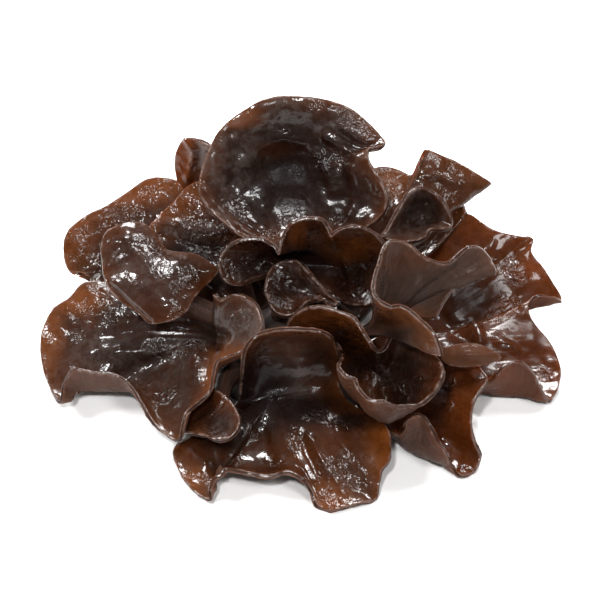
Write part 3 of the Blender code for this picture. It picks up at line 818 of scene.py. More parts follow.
# Where the amber of thin skin and its painted glow show in patches.
THIN_PATCHES = (0.20, 0.62, 0.55, 1.0)
THIN_BELOW = (*SIDES, 1.0, 0.7)
# Where the painted sheen shows in patches.
SHEEN_PATCHES = (0.38, 0.70, 0.10, 0.85)
# How far in from the rim the painted shade near the foot starts and ends, and how much on each side.
FAR_IN = (0.010, 0.034)
FAR_IN_BELOW = (*SIDES, 0.35, 0.85)
# How wide the pale edge border and its painted highlight are, and where they break.
BORDER = (0.00036, 0.00005)
BORDER_GAPS = (0.42, 0.66)
BAND = (0.30, 0.75)
FILM_PATCHES = (0.35, 0.75, -0.03, 0.10)
MATT_PORES = (0.3, 0.7, 0.50, 0.64)
WATER_BELOW = (0.3, 0.7, 0.85, 0.16)
WATER_IN_SHADE = (0.1, 0.9, 1.0, 0.25)
WATER_IN_DULL = (0.1, 0.9, 1.0, 0.08)
FURROWS_BELOW = (0.2, 0.8, 0.10, 0.6)
RIPPLE_PATCHES = (0.38, 0.60, 0.28, 1.0)
print("the mottle is", MOTTLE_NOISE[0] / MM, "mm wide")

# %% Wet skin
WET_SETTINGS = {
    "Coat Roughness": 0.08,
    "Coat IOR": 1.33,
    "IOR": 1.40,
    "Specular IOR Level": 0.10,
    "Subsurface Radius": (1.0, 0.38, 0.14),
    "Subsurface Scale": 0.0016,
}


def wet_skin(name, upper, warm, thin_glow, below, gloss, glow):
    """The material of one kind of ear."""
    skin, shader = new_paint("wet_" + name, {**WET_SETTINGS, "Subsurface Weight": glow})
    tree = skin.node_tree
    place = wire(tree, "ShaderNodeTexCoord").outputs["Object"]
    grain = carried_paint(tree, "grain", "Vector")
    under, edge, inward = (carried_paint(tree, label) for label in ("under", "edge", "inward"))
    amber, haze, ripple, dark, dull = (carried_paint(tree, label) for label in PLAIN_LOOK)
    broad = speckle(tree, place, *BROAD_NOISE)
    mottle = speckle(tree, place, *MOTTLE_NOISE)
    streaks = speckle(tree, grain, *STREAK_NOISE)
    pores = speckle(tree, place, *PORE_NOISE)
    flecks = speckle(tree, place, *FLECK_NOISE)
    patches = speckle(tree, place, *PATCH_NOISE)

    face = blend(tree, between(tree, broad, *WARM_PATCHES), (*upper, 1.0), (*warm, 1.0))
    # The underside, painted darker in the furrows of its wrinkles as shade.
    wrinkle = (*(WRINKLE_SHADE * value for value in below), 1.0)
    underside = blend(tree, between(tree, streaks, *WRINKLES), (*below, 1.0), wrinkle)
    face = blend(tree, between(tree, under, *SIDE_LINE), face, underside)
    # Amber of thin skin, partly its own colour and partly a painted glow of the light through it.
    patchy = times(tree, amber, between(tree, mottle, *THIN_PATCHES))
    face = blend(tree, times(tree, patchy, between(tree, under, *THIN_BELOW)), face, (*thin_glow, 1.0))
    # Painted sheen: a grey that stands for the soft boxes' reflection, in patches where the haze is strong.
    face = blend(tree, times(tree, haze, between(tree, mottle, *SHEEN_PATCHES)), face, PAINTED_SHEEN)
    # Painted shade: near black far in towards the foot, more on the underside, and under the dark marks.
    deep = times(tree, between(tree, inward, *FAR_IN), between(tree, under, *FAR_IN_BELOW))
    face = blend(tree, deep, face, SHADE_BLACK)
    face = blend(tree, dark, face, SHADE_BLACK)
    # The pale edge borders, partly paler skin and partly a painted highlight along the rounded edge.
    border = times(tree, between(tree, inward, *BORDER), between(tree, mottle, *BORDER_GAPS))
    face = blend(tree, border, face, PALE_EDGE_AND_HIGHLIGHT)
    face = blend(tree, between(tree, edge, *BAND), face, EDGE_BAND)
    tree.links.new(face, shader.inputs["Base Color"])

    film = plus(tree, times(tree, haze, HAZE_ROUGHNESS), gloss)
    film = plus(tree, film, between(tree, mottle, *FILM_PATCHES))
    sides = {0: between(tree, under, *SIDES), 2: film, 3: between(tree, pores, *MATT_PORES)}
    rough = wire(tree, "ShaderNodeMix", {"data_type": "FLOAT"}, sides)
    tree.links.new(rough.outputs[0], shader.inputs["Roughness"])
    # The water film is thin under the dark marks, so no highlight lifts the painted shade, and gone under
    # dull ones.
    water = times(tree, between(tree, under, *WATER_BELOW), between(tree, dark, *WATER_IN_SHADE))
    water = times(tree, water, between(tree, dull, *WATER_IN_DULL))
    tree.links.new(water, shader.inputs["Coat Weight"])

    fine = raised(tree, pores, PORE_STRENGTH, PORE_DEPTH)
    furrows = raised(tree, streaks, between(tree, under, *FURROWS_BELOW), FURROW_DEPTH, fine)
    ripple = times(tree, ripple, between(tree, patches, *RIPPLE_PATCHES))
    tree.links.new(raised(tree, flecks, ripple, FLECK_DEPTH, furrows), shader.inputs["Normal"])
    tree.links.new(raised(tree, flecks, ripple, FILM_DEPTH), shader.inputs["Coat Normal"])
    return skin


skins = {kind: wet_skin(kind, **paint) for kind, paint in SKIN_KINDS.items()}
print("the skins are", [skin.name for skin in skins.values()])

# %% [markdown]
# ## Growing an ear
# The ears could be sculpted by hand. They are grown from measured rows instead, because a row can be
# compared with the picture and put right point by point. Each ear below says which way it turns and
# rises from the foot, then its rim as across, down and height, some with the lift and the share that
# runs straight, and last its look, with folds and marks. An ear that has a middle is a cup, and the
# others are fans.

# %% One ear
def grow(ear, kind, seed, **measured):
    """Grows an ear from what was measured of it, and dresses it."""
    skin_of = cup_skin if "middle" in measured else fan_skin
    dress(skin_of(ear + "_flesh", **measured), "ear_" + ear, skins[kind], seed)


print("there are", len(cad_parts) - 1, "ears to grow")

# %% [markdown]
# ## The top ear
# The largest ear stands at the back, tipped towards the viewer: a near black bowl with painted shade
# in it, a smooth grey painted sheen on its left and a step where the bowl begins. Its rolled left rim
# lies in several folds. It is grown as a cup, because its rim runs all the way round, and low folds make
# the step.

# %% The top ear
grow(
    "top", "dark_ear", seed=1, turn=88, rise=50, middle=(290, 174, 44.5), leave=0.55, steps=8,
    rim=(
        (280, 97.5, 64, 3, 0.3), (262, 102, 63.5, 3, 0.3), (246, 111, 62, 3, 0.3), (230, 122, 60, 3, 0.3),
        (218, 135, 58, 3, 0.3), (209, 153, 55.5, 3, 0.3), (203, 170, 53, 3, 0.3), (200, 188, 50.5, 2, 0.3),
        (205, 202, 47.5, 1, 0.3), (216, 214, 45, 1, 0.3), (230, 226, 42.5), (241, 235, 40.5),
        (252, 240, 39), (266, 241, 38), (282, 240, 37.5), (302, 238, 37), (324, 236, 37.5),
        (345, 233, 38.5), (362, 228, 41), (376, 219, 44), (385, 206, 47), (384, 192, 50), (378, 180, 52),
        (371, 169, 53.5), (366, 159, 55), (368, 149, 56.5, 2, 0.3), (384, 144, 57, 3, 0.3),
        (379, 136, 58.5, 3, 0.3), (368, 124, 60, 3, 0.3), (355, 113, 61.5, 3, 0.3), (340, 105, 63, 3, 0.3),
        (322, 100, 63.5, 3, 0.3), (302, 98, 64, 3, 0.3),
    ),
    amber=0, rim_amber=0.45, haze=0.18, ripple=0.16,
    ambers=((238, 118, 22, 9, 0.8), (275, 152, 18, 8, 0.3)),
    # Grey painted sheen on the left, on the top rim and on the lower left.
    hazes=(
        (232, 158, 28, 36, 1), (282, 114, 20, 16, 0.9), (340, 120, 30, 14, 0.6), (222, 212, 14, 14, 0.6),
    ),
    ripples=(
        (330, 159, 15, 12, 0.9), (322, 106, 12, 5, 0.8), (351, 123, 18, 13, 0.9), (266, 234, 12, 5, 0.9),
        (339, 221, 12, 5, 0.9), (240, 208, 6, 12, 0.6), (284, 129, 5, 4, 0.6),
    ),
    folds=(
        (9, 1.1, ((250, 162), (260, 146), (281, 138), (307, 143), (326, 162), (336, 190))),
        (3, 0.8, ((201, 185), (214, 204), (236, 224), (256, 238))),
        (3, -0.8, ((210, 182), (222, 201), (243, 220), (264, 233))),
        (5, 1.2, ((327, 137), (340, 145), (351, 153))), (5, 1.2, ((343, 128), (355, 134), (366, 141))),
        (6, -0.8, ((232, 135), (236, 160), (232, 185))), (6, 0.8, ((352, 170), (360, 190), (350, 215))),
    ),
    # Painted shade in the bowl and at the lower right, where dull marks also take the water film off.
    darks=((290, 182, 36, 34, 0.7), (346, 205, 18, 22, 0.5)),
    dulls=((292, 186, 30, 30, 0.9), (342, 208, 16, 18, 0.6)),
)

# %% [markdown]
# ## The left front ear
# The broad ear at the front left. Its edge turns down towards the table on the near side, and an upright
# inner lobe shows its pale face; where the sheet is thin it glows orange. It is a fan. Rows with a
# negative lift bring the sheet to its rim from below, which shows its underside.

# %% The left front ear
grow(
    "left_front", "brown_ear", seed=2, turn=183, spread=13, rise=30, leave=0.48,
    rim=(
        (196, 306, 13), (165, 297, 14), (138, 287, 14.5), (112, 282, 15), (86, 283, 15), (70, 299, 13),
        (55, 308, 12), (46, 324, 10), (42, 345, 8), (45, 368, 7), (52, 386, 6), (61, 399, 6, -9, 0.2),
        (63, 384, 9, -15, 0.1), (75, 369, 13, -22, 0.1), (95, 372, 13, -23, 0.1),
        (112, 373, 12.5, -20, 0.1), (127, 380, 12, -14, 0.1), (138, 392, 11, -8, 0.1),
        (147, 406, 10, -7, 0.1), (156, 421, 9, -4, 0.15), (166, 432, 9), (177, 437, 10), (182, 421, 13),
        (186, 410, 14), (197, 401, 15.5), (208, 390, 17, -3, 0.2), (211, 376, 18.5, -5, 0.1),
        (216, 361, 20, -5, 0.1), (228, 355, 21.5, -6, 0.1), (243, 349, 23.5, -6, 0.1),
        (256, 339, 26, -5, 0.15), (260, 325, 28), (256, 309, 29.5), (246, 299, 29.5), (232, 296, 28.5),
        (221, 302, 27), (213, 296, 26),
    ),
    amber=0.08, rim_amber=0.35, haze=0.2, ripple=0.24,
    ambers=(
        (75, 300, 30, 12, 0.7), (50, 330, 12, 30, 0.5), (234, 357, 20, 14, 0.8), (215, 378, 10, 16, 0.7),
    ),
    # Grey painted sheen on the middle and on the inner lobe.
    hazes=((130, 355, 50, 24, 0.8), (230, 325, 22, 22, 0.9)),
    ripples=(
        (108, 316, 8, 7, 0.9), (96, 297, 13, 8, 0.8), (85, 311, 12, 9, 0.8), (77, 335, 5, 6, 0.9),
        (160, 350, 14, 9, 0.9), (191, 350, 14, 9, 0.8), (158, 388, 15, 14, 0.8), (243, 318, 14, 8, 0.7),
    ),
    folds=(
        (6, -1.2, ((110, 332), (150, 328), (200, 330), (222, 336))),
        (5, 1, ((100, 350), (150, 352), (196, 352))),
    ),
)

# %% [markdown]
# ## The small cap on the left
# A small ear that stands over the left side like a cap, with a thin double line all round its rim. A cup
# on a stalk of its own stands free of the ears below, and a groove draws the second line.

# %% The small cap on the left
grow(
    "left_small", "dark_ear", seed=3, turn=172, rise=42, middle=(155, 276, 33), leave=0.5, lift=1,
    rim=(
        (103, 262, 29), (102, 248, 31), (106, 233, 33), (118, 226, 34), (132, 222, 34.5), (145, 223, 34),
        (154, 231, 33.5), (161, 241, 33), (168, 249, 32.5), (182, 252, 32), (198, 255, 31.5),
        (210, 262, 31), (218, 270, 30), (211, 280, 29), (201, 289, 28.5), (193, 299, 28), (187, 310, 27),
        (176, 318, 26), (162, 322, 25), (149, 322, 24.5), (138, 313, 25), (123, 302, 26), (110, 289, 27.5),
        (105, 276, 28.5),
    ),
    amber=0.04, rim_amber=0.35, haze=0.12, ripple=0.2,
    # Grey painted sheen on the middle of the cap.
    hazes=((145, 276, 24, 24, 0.5),),
    ripples=(
        (116, 242, 6, 6, 0.9), (142, 246, 18, 7, 0.9), (192, 278, 10, 10, 0.8), (176, 288, 6, 6, 0.8),
        (177, 313, 7, 5, 0.7),
    ),
    folds=((3, -0.7, ((110, 285), (130, 305), (150, 322))),),
)

# %% [markdown]
# ## The back left ear
# The outermost ear at the back left, folded over along its amber top edge. A plain fan is enough, because
# its inner part is covered.

# %% The back left ear
grow(
    "back_left", "brown_ear", seed=4, turn=154, spread=11, rise=10, leave=0.3,
    rim=(
        (215, 200, 28), (200, 188, 30), (186, 183, 31), (175, 181, 31), (162, 178.5, 30.5),
        (147, 180.5, 30), (130, 192, 27.5), (110, 205, 24.5), (90, 215, 21), (73, 227, 18.5),
        (66, 240, 16), (65, 253, 13), (68, 267, 11), (77, 276, 10), (92, 277, 8.5), (112, 268, 7),
    ),
    amber=0.12, rim_amber=0.7, haze=0.2, ripple=0.45,
    ambers=((140, 190, 44, 12, 0.6), (80, 245, 14, 24, 0.3)),
    ripples=((121, 210, 14, 8, 0.9), (81, 241, 5, 10, 0.9), (150, 191, 14, 4, 0.7)),
)

# %% [markdown]
# ## The inner left ear
# A glossy ear between the back left one and the top one, amber along its crest and painted near black
# below it as shade. Strong ripples in the skin break the light more truly than painted flecks would.

# %% The inner left ear
grow(
    "left_inner", "brown_ear", seed=5, turn=138, spread=-10, rise=38, leave=0.4,
    rim=(
        (178, 268, 20), (158, 250, 24), (151, 236, 27), (152, 225, 29), (160, 216, 31), (170, 207, 33),
        (180, 197, 35), (187, 189, 36.5), (198, 183, 37.5), (214, 186, 37), (230, 196, 35), (244, 212, 32),
        (250, 232, 28),
    ),
    amber=0.08, rim_amber=0.7, haze=0.2, ripple=0.45,
    ambers=((185, 202, 22, 12, 0.5),),
    ripples=((192, 231, 30, 10, 1),),
    # Grey painted sheen along the crest, and painted shade below it.
    hazes=((192, 229, 28, 7, 0.7),),
    darks=((196, 250, 30, 9, 0.9),),
    folds=((8, 1.5, ((165, 224), (192, 228), (220, 233))), (6, -1, ((165, 240), (192, 244), (218, 249)))),
)

# %% [markdown]
# ## The ear behind the top
# Only its tip shows, at the left of the top ear: amber on one face, a grey painted sheen on the other. It
# is a whole fan all the same, so that the clump is complete from behind.

# %% The ear behind the top
grow(
    "back", "amber_ear", seed=6, turn=100, spread=-14, rise=30, leave=0.4,
    rim=(
        (178, 182, 34), (175, 165, 38), (177, 152, 42), (185, 139, 46), (198, 142, 47), (213, 148, 47),
        (232, 152, 44), (258, 150, 42), (290, 155, 40), (320, 160, 38), (345, 168, 35),
    ),
    amber=0.3, rim_amber=0.4, haze=0.1, ripple=0.2,
    ambers=((182, 162, 8, 22, 0.8),),
    hazes=((207, 150, 9, 12, 1),),
    folds=((3, 1, ((186, 140), (195, 151), (188, 178))),),
)

# %% [markdown]
# ## The folded ear at the back right
# It lies behind the little hood, with bright slashes on its amber left part and a rolled corner. Rows
# with a negative lift bring the sheet up to its rim from below, which rolls that corner.

# %% The folded ear at the back right
grow(
    "back_right_top", "brown_ear", seed=7, turn=46, spread=-12, rise=34, leave=0.4,
    rim=(
        (360, 178, 36), (372, 170, 38), (385, 168, 38), (398, 171, 37), (410, 176, 36), (417, 172, 37),
        (418, 161, 39), (424, 151, 41), (440, 156, 40), (460, 165, 37), (478, 176, 34), (490, 185, 31),
        (475, 187, 30, -6, 0.2), (463, 191, 29, -8, 0.2), (460, 202, 27.5, -8, 0.2),
        (464, 214, 26, -6, 0.2),
    ),
    amber=0.25, rim_amber=0.5, haze=0.25, ripple=0.35,
    ambers=((385, 190, 18, 18, 0.5),),
    # Grey painted sheen on the lower left.
    hazes=((394, 206, 12, 9, 0.8),),
    ripples=((388, 189, 9, 10, 1), (435, 176, 4, 4, 0.8), (425, 182, 4, 3, 0.8)),
    folds=((3, 0.8, ((420, 176), (440, 176), (462, 186))),),
)

# %% [markdown]
# ## The broad ear on the right
# The brightest ear: thin enough to glow amber all over, with a notch on its right side, fine lines of
# light along its creases and a lower edge that curls to show its pale underside. Rows with a negative
# lift curl that edge, and dull marks keep the water film off the quiet parts.

# %% The broad ear on the right
grow(
    "back_right", "amber_ear", seed=8, turn=12, spread=-16, rise=12, leave=0.3, steps=8,
    rim=(
        (425, 226, 20), (442, 218, 23), (456, 214, 24.5), (470, 216, 25), (480, 223, 25), (490, 229, 24.5),
        (500, 233, 24), (512, 236, 23), (525, 238, 22), (532, 240, 21), (530, 252, 19), (541, 267, 16),
        (552, 284, 12.5), (560, 298, 9), (547, 295, 11, -4, 0.2), (533, 295, 12, -4, 0.2),
        (527, 304, 11.5), (528, 315, 10.5), (535, 326, 9.5), (546, 339, 8.5), (554, 354, 7),
        (559, 371, 5.5), (556, 387, 4), (549, 399, 3), (541, 390, 6, -9, 0.1), (533, 374, 11, -20, 0),
        (520, 362, 15, -24, 0), (505, 365, 15, -18, 0), (494, 373, 14, -8, 0.1),
    ),
    amber=0.45, rim_amber=0.4, haze=0.04, ripple=0.08,
    # Painted shade under the folded ear, beside the curled lip and on the lower lobe, where dull marks also
    # take the water film off.
    darks=((524, 334, 34, 28, 0.6), (470, 355, 30, 20, 0.6), (470, 304, 24, 22, 0.7)),
    dulls=((530, 334, 30, 26, 0.85), (474, 352, 34, 22, 0.8), (476, 298, 26, 22, 0.95)),
    ambers=((545, 270, 20, 34, 0.5), (525, 325, 30, 28, 0.55), (500, 380, 20, 20, 0.3)),
    # A grey painted sheen along the upper crease.
    hazes=((520, 288, 24, 8, 0.4),),
    ripples=(
        (510, 261, 12, 11, 0.8), (516, 279, 9, 7, 0.8), (501, 300, 6, 6, 1), (494, 315, 9, 6, 1),
        (545, 370, 8, 8, 0.9), (515, 305, 8, 8, 0.6),
    ),
    folds=(
        (3, 0.8, ((470, 318), (476, 328), (479, 342))), (3, 0.7, ((500, 343), (510, 345), (517, 352))),
        (5, -0.8, ((440, 318), (455, 332), (470, 342))),
    ),
)

# %% [markdown]
# ## The front right ear
# A vertical amber strip whose lower edge arches over its own wrinkled underside. The arch is a high
# stretch of rim with a negative lift, because a flat strip would show no underside.

# %% The front right ear
grow(
    "right_front", "amber_ear", seed=9, turn=-38, spread=-12, rise=14, leave=0.3, steps=9,
    rim=(
        (478, 366, 15), (486, 378, 15), (480, 388, 14), (473, 400, 13), (469, 415, 11.5), (470, 430, 9.5),
        (474, 445, 7), (478, 457, 4), (473, 470, 2), (461, 474, 1.8), (453, 465, 4, -4, 0.2),
        (447, 452, 9, -13, 0.1), (440, 440, 13, -19, 0), (432, 425, 16, -25, 0), (420, 414, 18, -25, 0),
        (408, 417, 17, -16, 0), (403, 426, 13.5, -8, 0.1),
    ),
    amber=0.14, rim_amber=0.4, haze=0.04, ripple=0.15,
    ambers=((458, 430, 14, 50, 0.3),),
    # Painted shade in the gap at its upper left.
    darks=((438, 392, 12, 24, 0.8),),
    ripples=((449, 383, 5, 8, 0.7), (447, 406, 5, 8, 0.7), (466, 467, 8, 4, 0.9), (420, 430, 18, 18, 0.6)),
)

# %% [markdown]
# ## The front ear
# The ear nearest to the viewer. A dark bowl with a high wall opens onto three ruffles that reach the
# table; fine wrinkles run over the nearest one and light glows through its right side. One cup with an
# uneven rim makes bowl and ruffles, so they run into each other without a seam.

# %% The front ear
grow(
    "front", "brown_ear", seed=10, turn=-96, rise=24, middle=(274, 395, 11.5), leave=0.5,
    rim=(
        (245, 365, 24, -5, 0.1), (247, 350, 28, -7, 0), (257, 338, 31, -9, 0), (270, 332, 32.5, -9, 0),
        (285, 331, 33, -9, 0), (300, 331, 33, -9, 0), (318, 333, 32, -8, 0), (330, 339, 29.5, -7, 0),
        (336, 350, 24, -5, 0.1), (338, 364, 17), (338, 384, 12), (346, 399, 9), (362, 410, 8.5),
        (378, 419, 8.5), (388, 430, 9), (390, 446, 8.5), (388, 459, 8), (380, 470, 6.5), (378, 482, 4),
        (375, 498, 1.6), (360, 502, 1.6), (345, 506, 1.6), (330, 509, 1.6), (319, 503, 2, -2, 0.2),
        (313, 490, 4, -3, 0.2), (304, 477, 7.5, -8, 0.1), (288, 470, 8.5, -11, 0.1),
        (270, 473, 8, -11, 0.1), (250, 471, 8, -11, 0.1), (235, 468, 8, -12, 0.1), (224, 466, 8, -12, 0.1),
        (214, 475, 6.5, -9, 0.1), (209, 488, 5, -6, 0.1), (209, 497, 3.5, -3, 0.2), (198, 492, 3),
        (187, 480, 3.5), (179, 466, 4.5), (174, 452, 5), (178, 441, 4.5), (190, 435, 3.5), (205, 429, 3),
        (221, 418, 4), (238, 402, 9), (242, 384, 17),
    ),
    amber=0.08, rim_amber=0.45, haze=0.08, ripple=0.12,
    ambers=(
        (384, 450, 20, 30, 0.6), (328, 494, 22, 14, 0.6), (195, 478, 14, 12, 0.4),
        (300, 450, 50, 16, 0.22), (350, 460, 30, 30, 0.2),
    ),
    # Grey painted sheen on the bowl's wall and on the right ruffle.
    hazes=((281, 349, 22, 12, 1), (296, 378, 9, 20, 1), (350, 478, 22, 20, 0.45)),
    ripples=(
        (253, 428, 9, 9, 0.9), (269, 416, 8, 5, 0.9), (294, 437, 7, 10, 0.9), (315, 415, 11, 6, 0.9),
        (344, 424, 15, 7, 0.9), (238, 459, 8, 6, 0.8), (276, 460, 6, 6, 0.8), (342, 478, 22, 24, 0.6),
        (196, 478, 12, 6, 0.9), (262, 352, 10, 12, 0.6),
    ),
    # Painted shade: the black hole at the bottom of the bowl, the dark crease below the wall and the
    # hollows between the ruffles.
    darks=(
        (256, 388, 34, 30, 1), (298, 408, 34, 12, 0.9), (236, 436, 12, 14, 0.7), (320, 412, 12, 10, 0.9),
        (350, 420, 22, 8, 0.9), (318, 360, 16, 18, 0.6),
    ),
    folds=(
        (5, -1, ((313, 440), (325, 462), (345, 490))), (6, 0.6, ((300, 436), (306, 455), (318, 478))),
        (6, 0.5, ((336, 430), (350, 455), (368, 480))), (7, -0.6, ((262, 430), (268, 450), (272, 464))),
        (5, -0.8, ((208, 440), (214, 458), (216, 470))),
    ),
)

# %% [markdown]
# ## The curl at the front left
# A small ear curled up between the left front ear and the front one. It is a cup, because both of its
# sides show.

# %% The curl at the front left
grow(
    "front_curl", "dark_ear", seed=11, turn=-146, rise=24, middle=(211, 415, 12), leave=0.5,
    rim=(
        (206, 388, 13), (217, 391, 15), (226, 398, 15.5), (233, 406, 15.5), (238, 418, 15.5),
        (235, 429, 15), (227, 436, 14.5), (216, 437, 14), (205, 434, 12.5), (194, 432, 10.5),
        (184, 431, 8), (180, 422, 8), (185, 412, 9.5), (194, 401, 11),
    ),
    amber=0.03, rim_amber=0.3, haze=0.05, ripple=0.2,
    # Grey painted sheen on the far wall of the curl, and painted shade inside it.
    hazes=((224, 421, 9, 9, 0.7),),
    darks=((218, 425, 14, 14, 0.5),),
)

# %% [markdown]
# ## The cup in front of the middle
# A black cup whose thick lip is rolled over and shows its orange brown underside; bright flecks lie at
# its bottom. A share below zero swings the sheet out below its rim and back up to it, so the outer wall
# is real.

# %% The cup in front of the middle
grow(
    "centre_front", "dark_ear", seed=12, turn=-56, rise=36, middle=(380, 376, 12), leave=0.5,
    rim=(
        (288, 327, 28), (293, 318, 31), (302, 311, 33), (315, 308.5, 34.5), (330, 311, 35), (345, 315, 35),
        (355, 322, 34.5), (363, 336, 33), (370, 348, 31), (377, 354, 28), (386, 350, 25.5),
        (393, 337, 23.5), (402, 332, 22.5), (414, 337, 23), (427, 349, 24), (438, 360, 25.5),
        (441, 372, 27), (437, 385, 26), (428, 396, 25), (418, 403, 24.5, -5, 0.1),
        (402, 405, 24.5, -12, 0), (385, 403, 25, -22, -0.2), (370, 399, 25.5, -30, -0.4),
        (361, 389, 26.5, -33, -0.4), (355, 379, 27, -33, -0.4), (347, 376, 27, -30, -0.4),
        (341, 368, 27.5, -22, -0.3), (343, 358, 25.5), (341, 346, 22.5), (328, 339, 21), (312, 337, 20.5),
        (298, 334, 22),
    ),
    amber=0.02, rim_amber=0.25, haze=0.05, ripple=0.4,
    ambers=((330, 318, 34, 9, 0.5), (362, 336, 14, 16, 0.4), (345, 398, 34, 18, 0.4)),
    # Grey painted sheen on the inner wall at the right.
    hazes=((412, 352, 14, 16, 0.5),),
    ripples=((350, 344, 7, 6, 1), (365, 366, 18, 15, 1), (405, 388, 20, 14, 1)),
    folds=((9, 2.2, ((384, 392), (402, 388), (420, 380))), (7, 1.6, ((356, 364), (368, 372), (378, 378)))),
)

# %% [markdown]
# ## The little ear in the middle
# A small black ear with bright flecks under its arched rim. Most of its look is ripples; the shape is
# kept plain.

# %% The little ear in the middle
grow(
    "centre_left", "dark_ear", seed=13, turn=180, rise=78, middle=(295, 290, 29), leave=0.5,
    rim=(
        (272, 268, 34), (285, 262, 35.5), (297, 262, 36), (306, 272, 35.5), (316, 283, 34), (326, 293, 32),
        (336, 303, 30), (327, 306, 29.5), (318, 302, 30), (308, 303, 30.5), (298, 309, 30),
        (287, 314, 29.5), (276, 310, 30), (269, 302, 30.5), (266, 290, 32),
    ),
    amber=0.02, rim_amber=0.12, haze=0.08, ripple=0.6,
    ripples=((298, 296, 34, 10, 1), (300, 280, 16, 12, 0.5)),
    folds=((6, 1, ((272, 298), (298, 301), (324, 300))),),
)

# %% [markdown]
# ## The dark cup in the middle
# A deep cup with a wavy upper rim. Its back wall is amber brown, its bottom nearly black. Marks paint the
# amber as a painted glow and the black as painted shade, because the light alone would leave both brown.

# %% The dark cup in the middle
grow(
    "centre_back", "dark_ear", seed=14, turn=45, rise=74, middle=(332, 266, 28.5), leave=0.5, steps=8,
    rim=(
        (220, 268, 35), (222, 257, 37), (230, 248, 39), (240, 243, 41), (252, 241, 42.5), (264, 242, 43.5),
        (273, 248, 44), (279, 256, 43.5), (282, 247, 45), (285, 237, 46.5), (291, 227, 47.5),
        (300, 222, 48), (312, 220, 48), (322, 222, 47.5), (327, 230, 45.5), (331, 238, 44.5),
        (337, 234, 45.5), (346, 230, 46.5), (358, 229, 46.5), (368, 232, 46), (376, 238, 45),
        (383, 248, 42.5), (388, 264, 38), (385, 285, 33), (374, 302, 28.5), (348, 303, 26.5),
        (328, 290, 26.5), (310, 278, 28), (292, 270, 29.5), (275, 274, 29.5), (255, 282, 30),
        (240, 286, 31), (227, 281, 32.5),
    ),
    amber=0.03, rim_amber=0.15, haze=0.06, ripple=0.3,
    ambers=((342, 246, 26, 14, 0.8), (300, 236, 8, 14, 0.4)),
    # Grey painted sheen on the right rim and the left lobe; painted shade on the bottom of the cup.
    hazes=((350, 233, 14, 5, 0.8), (250, 273, 16, 8, 0.6)),
    ripples=((350, 282, 10, 18, 1), (337, 295, 8, 8, 1), (250, 268, 22, 10, 0.8)),
    darks=((305, 262, 34, 16, 0.8), (255, 262, 20, 10, 0.5)),
    folds=((4, 1, ((345, 262), (350, 278), (352, 294))), (3, 0.8, ((268, 262), (290, 276), (318, 296)))),
)

# %% [markdown]
# ## The little hood
# A smooth hood below the right side of the top ear, grey from a painted sheen. A high haze roughens its
# film and paints that grey sheen, which lightens it; more gloss would make it look wet.

# %% The little hood
grow(
    "right_upper", "dark_ear", seed=15, turn=24, rise=54, middle=(422, 215, 39), leave=0.5,
    rim=(
        (383, 237, 43), (389, 229, 44), (395, 220, 45.5), (400, 210, 47), (405, 201, 48), (411, 193, 49),
        (420, 190, 49), (429, 193, 48), (437, 199, 46.5), (444, 207, 44.5), (449, 217, 42.5),
        (450, 227, 40.5), (440, 228, 41), (429, 228, 41.5), (423, 236, 40.5), (410, 241, 39.5),
        (396, 241, 41),
    ),
    amber=0.03, rim_amber=0.3, haze=0.8, ripple=0.1,
    hazes=((424, 210, 26, 18, 0.9),),
)

# %% [markdown]
# ## The folded ear on the right
# This ear is folded so that its dull, pale underside is outwards, with a wrinkled lip on its left and an
# orange brown band on its lower lobe. It stands so steeply that one fan shows the viewer its lower side.

# %% The folded ear on the right
grow(
    "right_mid", "pale_ear", seed=16, turn=-12, spread=10, rise=48, leave=0.4, steps=8,
    rim=(
        (438, 356, 33), (436, 345, 35), (431, 334, 37), (421, 324, 38.5), (411, 315, 39.5),
        (400, 309.5, 40.5), (390, 311, 41), (380, 306, 42), (373, 298, 43), (371, 287, 44), (373, 274, 45),
        (377, 262, 46), (381, 249, 47), (388, 241, 47.5), (399, 241, 47), (410, 245, 46.5),
        (420, 254, 45.5), (431, 260, 44), (444, 263, 42.5), (451, 259, 42), (458, 251, 42.5),
        (468, 246, 42.5), (480, 249, 41.5), (489, 259, 39.5), (494, 270, 37.5), (484, 267, 36.5),
        (472, 273, 35), (462, 281, 33), (452, 292, 31), (443, 304, 29), (436, 318, 27),
    ),
    amber=0.1, rim_amber=0.3, haze=0.3, ripple=0.25,
    ambers=(
        (400, 316, 26, 9, 0.9), (425, 338, 12, 14, 0.6), (386, 306, 12, 5, 0.5), (400, 262, 26, 10, 0.3),
    ),
    # Painted shade in the hollow under the lip, and grey painted sheen on the pale face.
    darks=((392, 340, 10, 10, 0.8),),
    hazes=((410, 288, 22, 16, 0.6), (412, 350, 14, 20, 0.8)),
    ripples=((382, 280, 8, 28, 0.5),),
)

# %% [markdown]
# ## The curled lip on the right
# A short dull lip between the right ears, like the end of a small sausage. A cup this flat looks like a
# rolled lip, and a dull mark takes the water film off all of it.

# %% The curled lip on the right
grow(
    "right_stub", "pale_ear", seed=17, turn=-14, rise=14, middle=(470, 355, 21.6), leave=0.6,
    rim=(
        (441, 350, 21), (450, 346, 22), (462, 344, 22.5), (474, 344, 22.5), (486, 348, 22), (496, 354, 21),
        (499, 359, 19.5), (488, 363, 18.5), (472, 366, 18), (456, 366, 18), (444, 361, 19),
    ),
    amber=0.45, rim_amber=0.2, haze=0.3, ripple=0.02,
    dulls=((470, 352, 80, 40, 1),),
)

# %% [markdown]
# ## The low ear at the back left
# The picture hides the back. A ruffled ear like the others closes it on the left, low on the table. No
# picture can check it, so it is kept simple.

